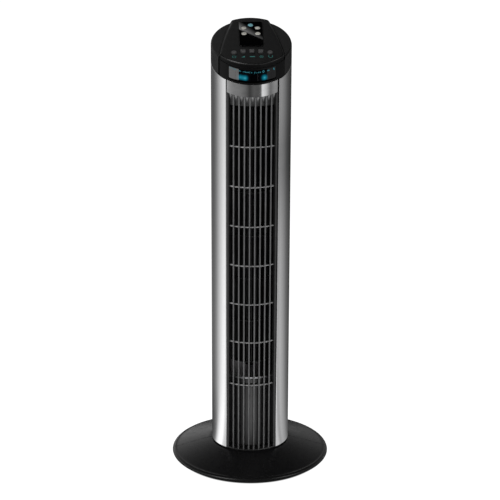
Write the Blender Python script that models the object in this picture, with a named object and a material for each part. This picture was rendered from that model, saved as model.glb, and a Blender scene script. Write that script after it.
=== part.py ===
"""Oscillating tower fan, about 0.76 m tall, as separate named pieces.

Units are metres (the constants are millimetres, scaled by MM). +Z is up, the front faces -Y,
and the origin is on the floor, under the axis that the tower swivels on.
Angles round the tower are measured from the front (-Y) towards +X.
The head and the top of the tower are cut on a slope that falls towards the front:
a point of the head is given by (radius, h), and its height is h + SLOPE * y.
"""
import bpy
import bmesh
from math import sin, cos, radians, atan, pi, sqrt, tan, acos
from mathutils import Vector, Matrix

MM = 0.001

# ---- driving dimensions (mm) -------------------------------------------------
R_TOWER = 66.25          # outside radius of the tower and the head
WALL = 2.2               # skin of the side covers
Z_BOTTOM = 33.5          # lower edge of the tower skin
SLOPE = 0.38             # fall of the head towards the front (about 20.8 degrees)
TILT = atan(SLOPE)
H_LOW = 701.5            # sloping joint between tower and head, at the axis
H_SHOULDER = 731.2       # top of the head's shoulders, at the axis
H_PANEL = 735.0          # top of the raised control panel, at the axis
H_BADGE = 680.2          # lower edge of the front plate, at the axis
A_FRONT = 39.7           # half angle of the front opening between the covers
A_REAR = 118.0           # where the side covers end at the back
A_PANEL = 51.9           # half angle of the control panel's front wall
A_WINDOW = 35.3          # half angle of the display window
R_RIM, Z_RIM = 135.5, 11.0   # widest edge of the base
R_FOOT = 125.0           # lower edge of the base
IMP_Y = 6.0              # the blower's axis lies this far behind the swivel axis
IMP_R = 42.0
IMP_Z0, IMP_Z1 = 184.0, 637.0
IMP_SEGMENTS, IMP_BLADES = 6, 14
RIB_PITCH = 8.92
RIB_T = 2.4
RUNG_Z = (571.0, 502.7, 434.4, 366.1, 297.8, 229.5, 152.0)
GEAR_M, GEAR_N, PINION_N = 1.0, 48, 16
GEAR_Z = (22.0, 29.2)
PINION_Y = -(GEAR_M * (GEAR_N + PINION_N) / 2 + 0.12)
KEY_X = (-29.2, -14.6, 0.0, 14.6, 29.2)
KEY_Y = (-34.0, -31.0, -30.4, -31.0, -34.0)
REMOTE_W, REMOTE_L = 39.6, 74.6
REMOTE_V = 18.9          # middle of the remote up the slope from the axis
REMOTE_KEYS = (("power", 0.0, 45.1), ("a", -11.2, 36.3), ("b", 11.2, 36.3), ("c", -11.2, 19.5), ("d", 11.2, 19.5))

for o in list(bpy.data.objects):
    bpy.data.objects.remove(o)

# ---- materials -------------------------------------------------------------------
def material(name, color, rough, metal=0.0, alpha=1.0, emit=None):
    m = bpy.data.materials.new(name)
    m.use_nodes = True
    b = m.node_tree.nodes["Principled BSDF"]
    b.inputs["Base Color"].default_value = (*color, 1.0)
    b.inputs["Roughness"].default_value = rough
    b.inputs["Metallic"].default_value = metal
    b.inputs["Alpha"].default_value = alpha
    if emit:
        b.inputs["Emission Color"].default_value = (*emit, 1.0)
        b.inputs["Emission Strength"].default_value = 1.0
    m.diffuse_color = (*color, alpha)
    return m

BLACK = material("black_plastic", (0.016, 0.016, 0.017), 0.42)
BASEBLACK = material("base_plastic", (0.014, 0.014, 0.015), 0.32)
GLOSS = material("gloss_black", (0.006, 0.006, 0.007), 0.08)
SILVER = material("silver_cover", (0.62, 0.62, 0.62), 0.28, 0.9)
BRUSHED = material("brushed_plate", (0.5, 0.5, 0.5), 0.32, 1.0)
GRILLE = material("grille_plastic", (0.045, 0.045, 0.046), 0.35)
STEEL = material("zinc_steel", (0.55, 0.55, 0.56), 0.35, 1.0)
NYLON = material("white_nylon", (0.75, 0.74, 0.7), 0.5)
RUBBER = material("rubber", (0.02, 0.02, 0.02), 0.8)
SMOKED = material("smoked_window", (0.01, 0.01, 0.012), 0.04)
BOARD = material("circuit_board", (0.02, 0.12, 0.05), 0.5)
KEYWHITE = material("remote_key_white", (0.72, 0.71, 0.66), 0.5)
KEYBLUE = material("remote_key_blue", (0.22, 0.6, 0.7), 0.5)
KEYBLACK = material("key_black", (0.03, 0.03, 0.032), 0.25)
WIRE = material("harness", (0.03, 0.03, 0.03), 0.6)
MOTOR = material("motor_steel", (0.32, 0.32, 0.33), 0.4, 1.0)

# ---- helpers ------------------------------------------------------------------------
def empty(name, loc=(0, 0, 0), rot=(0, 0, 0), parent=None):
    e = bpy.data.objects.new(name, None)
    bpy.context.scene.collection.objects.link(e)
    e.location = Vector(loc) * MM
    e.rotation_euler = rot
    if parent:
        e.parent = parent
    return e


def add(name, verts, faces, mat, axis=None, smooth=35, helper=False):
    """An object from points in mm in the frame of its parent empty `axis` (or of the world)."""
    me = bpy.data.meshes.new(name)
    me.from_pydata([tuple(c * MM for c in v) for v in verts], [], faces)
    bm = bmesh.new()
    bm.from_mesh(me)
    bmesh.ops.remove_doubles(bm, verts=bm.verts, dist=1e-6)
    bmesh.ops.recalc_face_normals(bm, faces=bm.faces)
    bm.to_mesh(me)
    bm.free()
    me.update()
    me.shade_smooth()
    me.set_sharp_from_angle(angle=radians(smooth))
    ob = bpy.data.objects.new(name, me)
    bpy.context.scene.collection.objects.link(ob)
    if mat:
        me.materials.append(mat)
    if axis:
        ob.parent = axis
    if helper:
        ob.hide_render = True
        ob.display_type = "WIRE"
    return ob


def lay(verts, origin):
    """World points to the frame of an unrotated empty at origin."""
    return [(v[0] - origin[0], v[1] - origin[1], v[2] - origin[2]) for v in verts]


def at(a, r):
    """x, y at angle a (degrees from the front towards +X) and radius r."""
    return r * sin(radians(a)), -r * cos(radians(a))


def prism(loop, z0, z1, slope0=0.0, slope1=0.0):
    """A closed outline in x, y between two levels, each level optionally sloping with y."""
    n = len(loop)
    v = [(x, y, z0 + slope0 * y) for x, y in loop] + [(x, y, z1 + slope1 * y) for x, y in loop]
    f = [tuple(range(n))[::-1], tuple(range(n, 2 * n))]
    f += [(i, (i + 1) % n, (i + 1) % n + n, i + n) for i in range(n)]
    return v, f


def stack(loops):
    """Loops of equal length [(points)] joined one above the other, capped at both ends."""
    n = len(loops[0])
    v = [p for loop in loops for p in loop]
    f = [tuple(range(n))[::-1], tuple(range((len(loops) - 1) * n, len(loops) * n))]
    for k in range(len(loops) - 1):
        f += [(k * n + i, k * n + (i + 1) % n, (k + 1) * n + (i + 1) % n, (k + 1) * n + i) for i in range(n)]
    return v, f


def circle(r, n=24, cx=0.0, cy=0.0, a0=0.0):
    return [(cx + r * cos(a0 + 2 * pi * i / n), cy + r * sin(a0 + 2 * pi * i / n)) for i in range(n)]


def rounded(w, l, radii, n=4, cx=0.0, cy=0.0):
    """A rounded rectangle; radii for the corners (+x+y, -x+y, -x-y, +x-y)."""
    pts = []
    for k, (sx, sy) in enumerate(((1, 1), (-1, 1), (-1, -1), (1, -1))):
        r = radii[k]
        ox, oy = sx * (w / 2 - r), sy * (l / 2 - r)
        for i in range(n + 1):
            a = pi / 2 * k + pi / 2 * i / n
            pts.append((cx + ox + r * cos(a), cy + oy + r * sin(a)))
    return pts


def revolve(profile, n, a0=None, a1=None, cx=0.0, cy=0.0, slope=0.0):
    """A closed profile of (r, z) turned round Z, all the way or from angle a0 to a1 with flat ends."""
    full = a0 is None
    steps = n if full else n + 1
    m = len(profile)
    v, f = [], []
    for s in range(steps):
        a = 360.0 * s / n if full else a0 + (a1 - a0) * s / n
        for r, z in profile:
            x, y = at(a, r)
            v.append((cx + x, cy + y, z + slope * (cy + y)))
    for s in range(n):
        t = (s + 1) % steps
        for i in range(m):
            j = (i + 1) % m
            quad = (s * m + i, s * m + j, t * m + j, t * m + i)
            a, b = profile[i][0] < 1e-9, profile[j][0] < 1e-9
            if a and b:
                continue
            f.append(quad)
    if not full:
        f += [tuple(range(m)), tuple(range((steps - 1) * m, steps * m))[::-1]]
    return v, f


def solid_turn(profile, n, cx=0.0, cy=0.0):
    """A solid of revolution from an open profile that starts and ends on the axis."""
    v, f = [], []
    rings = []
    for r, z in profile:
        if r < 1e-9:
            rings.append([len(v)])
            v.append((cx, cy, z))
        else:
            rings.append(list(range(len(v), len(v) + n)))
            v += [(cx + r * cos(2 * pi * i / n), cy + r * sin(2 * pi * i / n), z) for i in range(n)]
    for p, q in zip(rings, rings[1:]):
        for i in range(n):
            j = (i + 1) % n
            if len(p) == 1:
                f.append((p[0], q[j], q[i]))
            elif len(q) == 1:
                f.append((p[i], p[j], q[0]))
            else:
                f.append((p[i], p[j], q[j], q[i]))
    return v, f


def shell(angles, levels, r_out, r_in, holes=(), top=None, bottom=None):
    """A curved wall made of cells between the angles and levels, some of them left open.
    top and bottom give sloping ends as h in place of the last and first level."""
    na, nz = len(angles), len(levels)
    v, f = [], []

    def z_of(k, y):
        if k == nz - 1 and top is not None:
            return top + SLOPE * y
        if k == 0 and bottom is not None:
            return bottom + SLOPE * y
        return levels[k]

    for r in (r_out, r_in):
        for a in angles:
            x, y = at(a, r)
            # both skins end on the outer skin's height, so that the end faces are flat across
            _, yo = at(a, r)
            for k in range(nz):
                v.append((x, y, z_of(k, yo)))
    idx = lambda s, i, k: s * na * nz + i * nz + k
    holes = set(holes)
    open_cell = lambda i, k: i < 0 or k < 0 or i >= na - 1 or k >= nz - 1 or (i, k) in holes
    for i in range(na - 1):
        for k in range(nz - 1):
            if (i, k) in holes:
                continue
            f.append((idx(0, i, k), idx(0, i + 1, k), idx(0, i + 1, k + 1), idx(0, i, k + 1)))
            f.append((idx(1, i, k + 1), idx(1, i + 1, k + 1), idx(1, i + 1, k), idx(1, i, k)))
            if open_cell(i - 1, k):
                f.append((idx(0, i, k), idx(0, i, k + 1), idx(1, i, k + 1), idx(1, i, k)))
            if open_cell(i + 1, k):
                f.append((idx(0, i + 1, k + 1), idx(0, i + 1, k), idx(1, i + 1, k), idx(1, i + 1, k + 1)))
            if open_cell(i, k - 1):
                f.append((idx(0, i + 1, k), idx(0, i, k), idx(1, i, k), idx(1, i + 1, k)))
            if open_cell(i, k + 1):
                f.append((idx(0, i, k + 1), idx(0, i + 1, k + 1), idx(1, i + 1, k + 1), idx(1, i, k + 1)))
    used = sorted({i for face in f for i in face})
    place = {old: new for new, old in enumerate(used)}
    return [v[i] for i in used], [tuple(place[i] for i in face) for face in f]


def merge(*shapes):
    v, f = [], []
    for sv, sf in shapes:
        k = len(v)
        v += sv
        f += [tuple(i + k for i in face) for face in sf]
    return v, f


def box(x0, x1, y0, y1, z0, z1):
    return prism([(x0, y0), (x1, y0), (x1, y1), (x0, y1)], z0, z1)


def boolean(ob, cutter, op="DIFFERENCE"):
    m = ob.modifiers.new(op.lower() + "_" + cutter.name, "BOOLEAN")
    m.operation = op
    m.solver = "EXACT"
    m.object = cutter
    return m


def cut(ob, name, verts, faces, op="DIFFERENCE"):
    """Cuts (or joins) a helper shape, which lives in the same frame as ob."""
    c = add(name, verts, faces, None, axis=ob.parent, helper=True)
    boolean(ob, c, op)
    return c


def spread(a0, a1, n):
    return [a0 + (a1 - a0) * i / n for i in range(n + 1)]


# ---- frames -------------------------------------------------------------------------
tower = empty("swivel_axis")
blower = empty("blower_axis", (0, IMP_Y, 0))
pinion_axis = empty("pinion_axis", (0, PINION_Y, 0))
panel = empty("panel_plane", (0, 0, H_PANEL), (TILT, 0, 0))   # local Z leaves the sloping panel

# ======================================================================================
# BASE
# ======================================================================================
base_profile = [
    (46.0, 30.3), (69.5, 30.6), (76.0, 29.6), (92.0, 26.0), (108.0, 21.6), (122.0, 16.9),
    (131.0, 13.3), (134.2, 11.6), (135.5, 9.6), (134.9, 7.0), (132.8, 4.0), (131.0, 1.9), (130.0, 1.5),
    (107.0, 1.5), (107.0, 4.0), (122.0, 4.0), (130.2, 9.9), (121.0, 13.9), (92.0, 22.9), (72.0, 26.6), (66.5, 26.9),
    (66.5, 22.0), (46.0, 22.0),
]
SEAM = 0.2
for name, a0, a1, dy in (("base_front", -90.0, 90.0, -SEAM), ("base_rear", 90.0, 270.0, SEAM)):
    v, f = revolve(base_profile, 18, a0, a1)
    half = add(name, [(x, y + dy, z) for x, y, z in v], f, BASEBLACK)
    # blind holes for the clamp screws
    holes = []
    for k, (sx, sy) in enumerate(((1, -1), (-1, -1), (1, 1), (-1, 1))):
        if (sy < 0) == (name == "base_front"):
            holes.append(prism(circle(2.4, 10, sx * 40.0, sy * 40.0), 20.0, 27.5))
    cut(half, name + "_holes", *merge(*holes))
    if name == "base_rear":
        cut(half, "cord_notch", *box(-6.0, 6.0, 100.0, 140.0, 0.5, 8.6))

# hub plate with the hollow post that the tower turns on; the lead would pass up through it
hub_profile = [
    (6.5, 16.0), (65.5, 16.0), (65.5, 21.7), (10.0, 21.7), (10.0, 46.1), (9.0, 46.1), (9.0, 51.0), (6.5, 51.0),
]
hub = add("base_hub", *revolve(hub_profile, 32), STEEL)
screw_holes = [prism(circle(2.5, 10, sx * 40.0, sy * 40.0), 14.0, 23.0) for sx in (-1, 1) for sy in (-1, 1)]
cut(hub, "hub_holes", *merge(*screw_holes))
for k, (sx, sy) in enumerate(((1, -1), (-1, -1), (1, 1), (-1, 1))):
    x, y = sx * 40.0, sy * 40.0
    v, f = solid_turn([(0, 13.0), (2.6, 13.0), (3.9, 13.9), (3.9, 15.7), (2.0, 15.7), (2.0, 26.6), (0, 27.0)], 12, x, y)
    add("base_screw_%d" % (k + 1), v, f, STEEL)
for k, (sx, sy) in enumerate(((1, -1), (-1, -1), (1, 1), (-1, 1))):
    x, y = sx * 82.0, sy * 82.0
    v, f = solid_turn([(0, 0.0), (6.2, 0.0), (7.0, 0.5), (7.0, 1.2), (0, 1.2)], 16, x, y)
    add("foot_%d" % (k + 1), v, f, RUBBER)

# toothed ring segment that the oscillation pinion walks along
def involute(rb, r):
    t = sqrt(max(0.0, (r / rb) ** 2 - 1))
    return t - atan(t)


def tooth(n, m, centre, addendum=0.9, dedendum=1.15, backlash=0.2):
    """Points of one tooth, root to root, as (angle, radius), round its centre angle in radians."""
    rp, rb = m * n / 2, m * n / 2 * cos(radians(20))
    rt, rr = rp + addendum * m, rp - dedendum * m
    half = (pi * m / 2 - backlash) / 2 / rp
    start = max(rb, rr)
    left = [(half + involute(rb, rp) - involute(rb, r), r) for r in (start, rp, (rp + rt) / 2, rt)]
    if rr < rb:
        left = [(left[0][0], rr)] + left
    pts = [(centre - a, r) for a, r in left] + [(centre + a, r) for a, r in reversed(left)]
    return pts


def polar(pts):
    return [(r * sin(a), -r * cos(a)) for a, r in pts]


ring = []
for k in range(-6, 7):
    ring += tooth(GEAR_N, GEAR_M, 2 * pi * k / GEAR_N)
edge = ring[-1][0]
ring += [(edge + 0.03, 22.8), (edge + 0.1, 17.5)]
n_arc = 20
ring += [(edge + 0.1 + (2 * pi - 2 * (edge + 0.1)) * i / n_arc, 17.5) for i in range(1, n_arc)]
ring += [(2 * pi - edge - 0.1, 17.5), (2 * pi - edge - 0.03, 22.8)]
gear = add("swivel_gear", *prism(polar(ring), *GEAR_Z), NYLON, smooth=20)
cut(gear, "gear_bore", *prism(circle(10.4, 28), GEAR_Z[0] - 3, GEAR_Z[1] + 3))

add("swivel_bearing_ring", *revolve([(49.0, 30.9), (61.0, 30.9), (61.0, 33.0), (59.5, 33.5), (50.5, 33.5), (49.0, 33.0)], 32), NYLON)
add("retaining_nut", *revolve([(9.3, 46.6), (13.4, 46.6), (13.4, 49.2), (12.6, 50.0), (9.3, 50.0)], 18), STEEL, smooth=25)

# bush in the notch at the back of the base, where the mains lead comes out
gland = add("cord_gland", *box(-5.6, 5.6, 117.0, 129.6, 1.7, 8.3), RUBBER)
cut(gland, "gland_bore", *[[(x, z, y) for x, y, z in prism(circle(2.95, 16, 0, 5.0), 110, 140)[0]], prism(circle(2.95, 16), 0, 1)[1]])

# ======================================================================================
# TOWER
# ======================================================================================
tt_profile = [(10.4, 34.0), (63.3, 34.0), (63.3, 37.4), (13.6, 37.4), (13.6, 46.2), (10.4, 46.2)]
turntable = add("turntable", *revolve(tt_profile, 40), BLACK, axis=tower)
cut(turntable, "pinion_hole", *prism(circle(4.6, 14, 0, PINION_Y), 30, 40))
cut(turntable, "grille_seat", *shell(spread(-39.9, 39.9, 14), [30.0, 44.0], 80.0, 57.3))

n_cover = 18
for name, s in (("left_cover", -1), ("right_cover", 1)):
    angles = spread(s * A_FRONT, s * A_REAR, n_cover)
    if s < 0:
        angles = angles[::-1]
    v, f = shell(angles, [Z_BOTTOM, Z_BOTTOM + 1, 700.0], R_TOWER, R_TOWER - WALL, top=H_LOW)
    add(name, v, f, SILVER, axis=tower)

# badge plate above the grille
v, f = shell(spread(-38.4, 38.4, 14), [0, 1], R_TOWER - 0.1, R_TOWER - 1.7, top=H_LOW - 0.1, bottom=H_BADGE + 0.3)
add("badge_plate", v, f, BRUSHED, axis=tower)

# front grille: two rails, top and bottom bands, fins in front and hoops behind
R_GR = R_TOWER - 0.35
rails = []
for s in (-1, 1):
    pts = [at(s * 39.35, R_GR), at(s * 37.0, R_GR), at(s * 37.0, 57.7), at(s * 39.35, 57.7)]
    rails.append(prism(pts, Z_BOTTOM + 0.5, H_LOW - 0.3, 0.0, SLOPE))
fins = []
for k in range(8):
    x = (k - 3.5) * RIB_PITCH
    yo, yi = -sqrt(R_GR ** 2 - x * x), -sqrt(57.6 ** 2 - x * x)
    h = RIB_T / 2
    pts = [(x - 0.55 * h, yo + 0.15), (x + 0.55 * h, yo + 0.15), (x + h, yo + 1.2), (x + 0.62 * h, yi), (x - 0.62 * h, yi), (x - h, yo + 1.2)]
    fins.append(prism(pts, Z_BOTTOM + 0.6, H_BADGE + 0.2, 0.0, SLOPE))
grille = add("front_grille", *merge(*rails, *fins), GRILLE, axis=tower)
hoops = [revolve([(60.6, z - 0.95), (60.6, z + 0.7), (58.7, z + 0.95), (58.7, z - 0.95)], 10, -38.4, 38.4) for z in RUNG_Z]
hoops.append(shell(spread(-38.4, 38.4, 10), [34.6, 38.6], 62.0, 59.4))
hoops.append(shell(spread(-38.4, 38.4, 10), [640.5, 2000], 60.6, 58.9, top=H_LOW - 1.2))
cut(grille, "grille_hoops", *merge(*hoops), op="UNION")
cut(grille, "badge_seat", *shell(spread(-44.0, 44.0, 22), [0, 1], 72.0, 64.2, top=H_LOW + 20.0, bottom=H_BADGE))

# rear grille: intake slots and the hole of the hand grip
a_half = 180.0 - A_REAR - 0.35
angles = [180.0 + a for a in spread(-a_half, a_half, 20)]
levels = [Z_BOTTOM, 62.0]
z = 62.0
slot_rows = []
for k in range(6):
    slot_rows.append(len(levels) - 1)
    levels += [z + 86.0, z + 94.0]
    z += 94.0
levels = levels[:-1]
grip_row = len(levels)
levels += [660.0, 690.0, 711.0]
holes = [(i, k) for i in range(2, 18) if i % 2 == 0 or False for k in slot_rows]
holes = [(i, k) for i in (1, 3, 5, 7, 9, 10, 12, 14, 16, 18) for k in slot_rows if i not in (9, 10)]
holes += [(i, grip_row) for i in range(6, 14)]
v, f = shell(angles, levels, R_TOWER - 0.25, R_TOWER - 2.6, holes=holes, top=H_LOW - 0.2)
add("rear_grille", v, f, BLACK, axis=tower)
# cup behind the grip hole
cup_out = [at(180 - a, 63.2) for a in spread(-25.0, 25.0, 6)]
cup = cup_out + [(22.0, 41.0), (-22.0, 41.0)]
grip = add("grip_cup", *prism(cup, 656.0, 694.0), BLACK, axis=tower)
inner = [(x * 0.925, y) for x, y in [at(180 - a, 70.0) for a in spread(-22.5, 22.5, 6)]] + [(20.0, 43.2), (-20.0, 43.2)]
cut(grip, "grip_hollow", *prism(inner, 658.6, 691.4))

# the blower's duct
def spiral(steps, r0, r1, a0, a1):
    return [at(a0 + (a1 - a0) * i / steps, r0 + (r1 - r0) * (i / steps) ** 1.3) for i in range(steps + 1)]


outer = [(x, y + IMP_Y) for x, y in spiral(10, 47.6, 57.4, 148.0, 62.0)]
inner = [(x, y + IMP_Y) for x, y in spiral(10, 45.6, 55.2, 148.0, 62.0)]
scroll = outer + [(44.6, -40.0), (41.6, -41.4)] + inner[::-1]
add("scroll_wall", *prism(scroll, 166.2, 639.2), BLACK, axis=tower)
tongue = [(-44.4, -40.6), (-41.8, -42.4), (-37.6, -27.0), (-39.0, -24.6), (-58.0, -15.0), (-58.8, -17.0), (-41.2, -26.8)]
add("air_tongue", *prism(tongue, 166.2, 639.2), BLACK, axis=tower)

wire_xy = (-44.0, 38.0)
for name, z0, z1, bore in (("motor_plate", 162.4, 165.8, 9.0), ("top_bearing_plate", 639.6, 642.6, 9.4)):
    plate = add(name, *prism(circle(57.0, 32), z0, z1), MOTOR if name == "motor_plate" else BLACK, axis=tower)
    cut(plate, name + "_holes", *merge(prism(circle(bore, 16, 0, IMP_Y), z0 - 4, z1 + 4), prism(circle(5.0, 10, *wire_xy), z0 - 4, z1 + 4)))
add("top_bush", *revolve([(2.9, 638.6), (4.6, 638.6), (4.6, 639.3), (9.1, 639.3), (9.1, 643.4), (2.9, 643.4)], 16, cy=IMP_Y), RUBBER, axis=tower)
# fan motor: closed can, with a neck that the shaft leaves through
can = [(4.2, 98.0), (26.0, 98.0), (31.0, 101.0), (33.0, 106.0), (33.0, 150.0), (31.0, 155.0), (14.0, 157.5), (14.0, 162.0), (8.6, 162.0),
       (8.6, 160.0), (8.6, 152.0), (30.0, 150.0), (30.0, 106.0), (4.2, 101.5)]
add("motor_case", *revolve(can, 28, cy=IMP_Y), MOTOR, axis=tower)
add("motor_stator", *revolve([(19.2, 112.0), (29.6, 112.0), (29.6, 142.0), (19.2, 142.0)], 24, cy=IMP_Y), STEEL, axis=tower)
add("lower_shroud", *shell(spread(-74.0, 74.0, 20), [38.0, 161.8], 57.0, 55.2), GRILLE, axis=tower)
motor_body = solid_turn([(0, 37.8), (17.4, 37.8), (17.4, 52.6), (16.6, 53.4), (0, 53.4)], 24, 0, PINION_Y)
add("oscillation_motor", *motor_body, STEEL, axis=tower)
add("motor_capacitor", *prism(rounded(34, 14, (2, 2, 2, 2), 2, 18.0, 42.0), 40.0, 66.0), KEYWHITE, axis=tower)

# wiring loom from the motor bay up behind the duct to the control board
route = [(-30.0, 30.0, 44.0), (-37.0, 34.5, 60.0), (-44.0, 38.0, 90.0), (-44.0, 38.0, 180.0), (-44.4, 37.6, 320.0),
         (-43.8, 38.4, 460.0), (-44.0, 38.0, 620.0), (-44.0, 38.0, 648.0), (-40.0, 33.0, 672.0), (-30.0, 24.0, 690.0), (-22.0, 14.0, 700.0)]


def smooth_path(points, per=4):
    """Points of a smooth curve through the given points."""
    out = []
    P = [Vector(p) for p in points]
    for i in range(len(P) - 1):
        p0, p1, p2, p3 = P[max(i - 1, 0)], P[i], P[i + 1], P[min(i + 2, len(P) - 1)]
        for k in range(per):
            t = k / per
            out.append(0.5 * ((2 * p1) + (p2 - p0) * t + (2 * p0 - 5 * p1 + 4 * p2 - p3) * t * t + (3 * p1 - p0 - 3 * p2 + p3) * t ** 3))
    return out + [P[-1]]


cu = bpy.data.curves.new("wiring_loom", "CURVE")
cu.dimensions = "3D"
cu.bevel_depth = 2.2 * MM
cu.bevel_resolution = 1
cu.use_fill_caps = True
pts = smooth_path(route, 2)
sp = cu.splines.new("POLY")
sp.points.add(len(pts) - 1)
for p, q in zip(sp.points, pts):
    p.co = (*(q * MM), 1)
cu.materials.append(WIRE)
loom = bpy.data.objects.new("wiring_loom", cu)
bpy.context.scene.collection.objects.link(loom)
loom.parent = tower

for k, (a, z) in enumerate(((-57.2, 48.0), (57.2, 48.0), (-57.2, 668.0), (57.2, 668.0))):
    v, f = solid_turn([(0, 0.0), (2.4, 0.0), (3.2, 0.7), (3.2, 1.5), (0, 1.5)], 12)
    x, y = at(180 + a, 1.0)
    rot = Matrix.Rotation(radians(-(180 + a)), 4, "Z") @ Matrix.Rotation(radians(-90), 4, "X")
    base = Vector((*at(180 + a, R_TOWER + 1.25), z))
    # head turned to lie on the skin, its flat end against it
    turned = []
    out = Vector((x, y, 0))
    side = Vector((-y, x, 0))
    for p in v:
        turned.append(tuple(base - out * p[2] * 1.0 + side * p[0] + Vector((0, 0, p[1]))))
    add("rear_screw_%d" % (k + 1), turned, f, STEEL, axis=tower)

# ---- head -----------------------------------------------------------------------------
head_profile = [(40.0, 731.2), (63.9, 731.2), (65.4, 730.7), (66.1, 729.6), (66.25, 728.2), (66.25, 701.9), (63.8, 701.9), (63.8, 726.6), (62.2, 728.4), (40.0, 728.4)]
SPINE = [(30.2, 58.55), (34.6, 40.0), (39.6, 18.0), (44.7, -4.0), (48.6, -24.0), (51.6, -40.0)]
spine_gap = [(x + 0.35, y) for x, y in SPINE]
head = add("head_shell", *revolve(head_profile, 44, slope=SLOPE), BLACK, axis=tower)
front_edge = at(A_PANEL + 0.25, 160.0)
opening = [(30.6, 90.0)] + spine_gap[:-1] + [at(A_PANEL + 0.25, 66.4), front_edge]
opening += [(-x, y) for x, y in reversed(opening)]
cut(head, "head_opening", *prism(opening, 726.9, 760.0, SLOPE, SLOPE))
wedge = [at(A_PANEL + 0.25, 45.0), at(A_PANEL + 0.25, 160.0), at(-A_PANEL - 0.25, 160.0), at(-A_PANEL - 0.25, 45.0)]
cut(head, "head_front", *prism(wedge, 690.0, 760.0, SLOPE, SLOPE))

# raised control panel: a slab over the head and a wall down its front
slab_h0 = 727.3
wall_arc = [at(a, 65.0) for a in spread(A_PANEL - 1.5, -A_PANEL + 1.5, 14)]
back_arc = [at(180 + a, 65.9) for a in spread(27.3, -27.3, 8)]
outline = [(x, y) for x, y in SPINE[1:-1]] + wall_arc + [(-x, y) for x, y in reversed(SPINE[1:-1])] + back_arc
ctrl = add("control_panel", *prism(outline, slab_h0, H_PANEL, SLOPE, SLOPE), BLACK, axis=tower)
wall_angles = [-A_PANEL, -43.6] + spread(-A_WINDOW, A_WINDOW, 12) + [43.6, A_PANEL]


def sheared(shape):
    v, f = shape
    return [(x, y, z + SLOPE * y) for x, y, z in v], f


wall = sheared(shell(wall_angles, [H_LOW + 0.4, H_LOW + 5.3, H_LOW + 25.5, H_PANEL - 0.9], R_TOWER, R_TOWER - 2.5,
                     holes=[(i, 1) for i in range(2, 14)]))
cut(ctrl, "panel_wall", *wall, op="UNION")
# pocket for the remote, in the panel's own plane (local Z is the panel's normal)
t = TILT
def on_panel(verts):
    """From the panel's plane (u across, v up the slope, n out of it) to the tower's frame."""
    return [(u, v * cos(t) - n * sin(t), H_PANEL + v * sin(t) + n * cos(t)) for u, v, n in verts]


v, f = prism(rounded(REMOTE_W + 1.2, REMOTE_L + 1.2, (4, 4, 6.5, 6.5), 3, 0, REMOTE_V), -5.4, 5.0)
cut(ctrl, "remote_pocket", on_panel(v), f)
key_cuts = []
for x, y in zip(KEY_X, KEY_Y):
    loop = rounded(10.4, 12.4, (3.4,) * 4, 3, x, y / cos(t))
    vv, ff = prism(loop, -12.0, 6.0)
    key_cuts.append((on_panel(vv), ff))
cut(ctrl, "key_holes", *merge(*key_cuts))

# window and boards
v, f = sheared(shell(spread(-A_WINDOW + 0.35, A_WINDOW - 0.35, 12), [H_LOW + 5.6, H_LOW + 25.2], R_TOWER - 0.3, R_TOWER - 2.2))
add("display_window", v, f, SMOKED, axis=tower)
leds = []
board = sheared(box(-30.0, 30.0, -50.8, -49.2, H_LOW + 4.0, H_LOW + 24.0))
dboard = add("display_board", *board, BOARD, axis=tower)
for a in (-17.5, -10.7, 16.2):
    x = 55.0 * sin(radians(a))
    vv, ff = solid_turn([(0, 0.0), (2.5, 0.0), (2.5, 3.2), (1.6, 4.6), (0, 5.0)], 10)
    leds.append(([(x + p[0], -50.2 - p[2], H_LOW + 10.0 + p[1] + SLOPE * (-50.2)) for p in vv], ff))
cut(dboard, "leds", *merge(*leds), op="UNION")
v, f = prism(rounded(84, 34, (3,) * 4, 2, 0, -30.0), -14.6, -13.0)
add("control_board", on_panel(v), f, BOARD, axis=tower)

# ======================================================================================
# BLOWER WHEEL (turns about blower_axis)
# ======================================================================================
seg = (IMP_Z1 - IMP_Z0) / IMP_SEGMENTS
discs = []
for k in range(IMP_SEGMENTS + 1):
    zc = IMP_Z0 + k * seg
    if k in (0, IMP_SEGMENTS):
        t0, t1 = (zc, zc + 2.0) if k == 0 else (zc - 2.0, zc)
        if k == 0:
            prof = [(0, zc - 6.0), (5.6, zc - 6.0), (7.5, zc), (IMP_R, zc), (IMP_R, t1), (0, t1)]
        else:
            prof = [(0, t0), (IMP_R, t0), (IMP_R, t1), (0, t1)]
        discs.append(solid_turn(prof, 30))
    else:
        discs.append(revolve([(29.0, zc - 0.7), (IMP_R, zc - 0.7), (IMP_R, zc + 0.7), (29.0, zc + 0.7)], 30))
blades = []
for k in range(IMP_BLADES):
    a = 360.0 * k / IMP_BLADES
    prof = []
    for r, da in ((31.5, 6.5), (36.0, 2.2), (41.4, 0.0)):
        prof.append(at(a + da, r))
    back = [(x * 0.985 - 0.0, y * 0.985) for x, y in reversed(prof)]
    ang = radians(1.9)
    back = [(x * cos(ang) - y * sin(ang), x * sin(ang) + y * cos(ang)) for x, y in reversed(prof)]
    blades.append(prism(prof + back, IMP_Z0 + 1.0, IMP_Z1 - 1.0))
wheel = add("blower_wheel", *merge(*discs), BLACK, axis=blower)
cut(wheel, "wheel_blades", *merge(*blades), op="UNION")
cut(wheel, "wheel_bore", *prism(circle(3.3, 12), IMP_Z0 - 12, IMP_Z0 + 1.2))
add("top_pivot_pin", *solid_turn([(0, IMP_Z1 + 0.3), (2.5, IMP_Z1 + 0.3), (2.5, IMP_Z1 + 8.0), (2.0, IMP_Z1 + 8.6), (0, IMP_Z1 + 8.6)], 12), STEEL, axis=blower)
add("motor_rotor", *solid_turn([(0, 92.0), (3.0, 92.0), (3.0, 113.0), (18.6, 113.0), (18.6, 141.0), (3.0, 141.0), (3.0, IMP_Z0 + 0.9), (0, IMP_Z0 + 0.9)], 16), STEEL, axis=blower)

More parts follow.
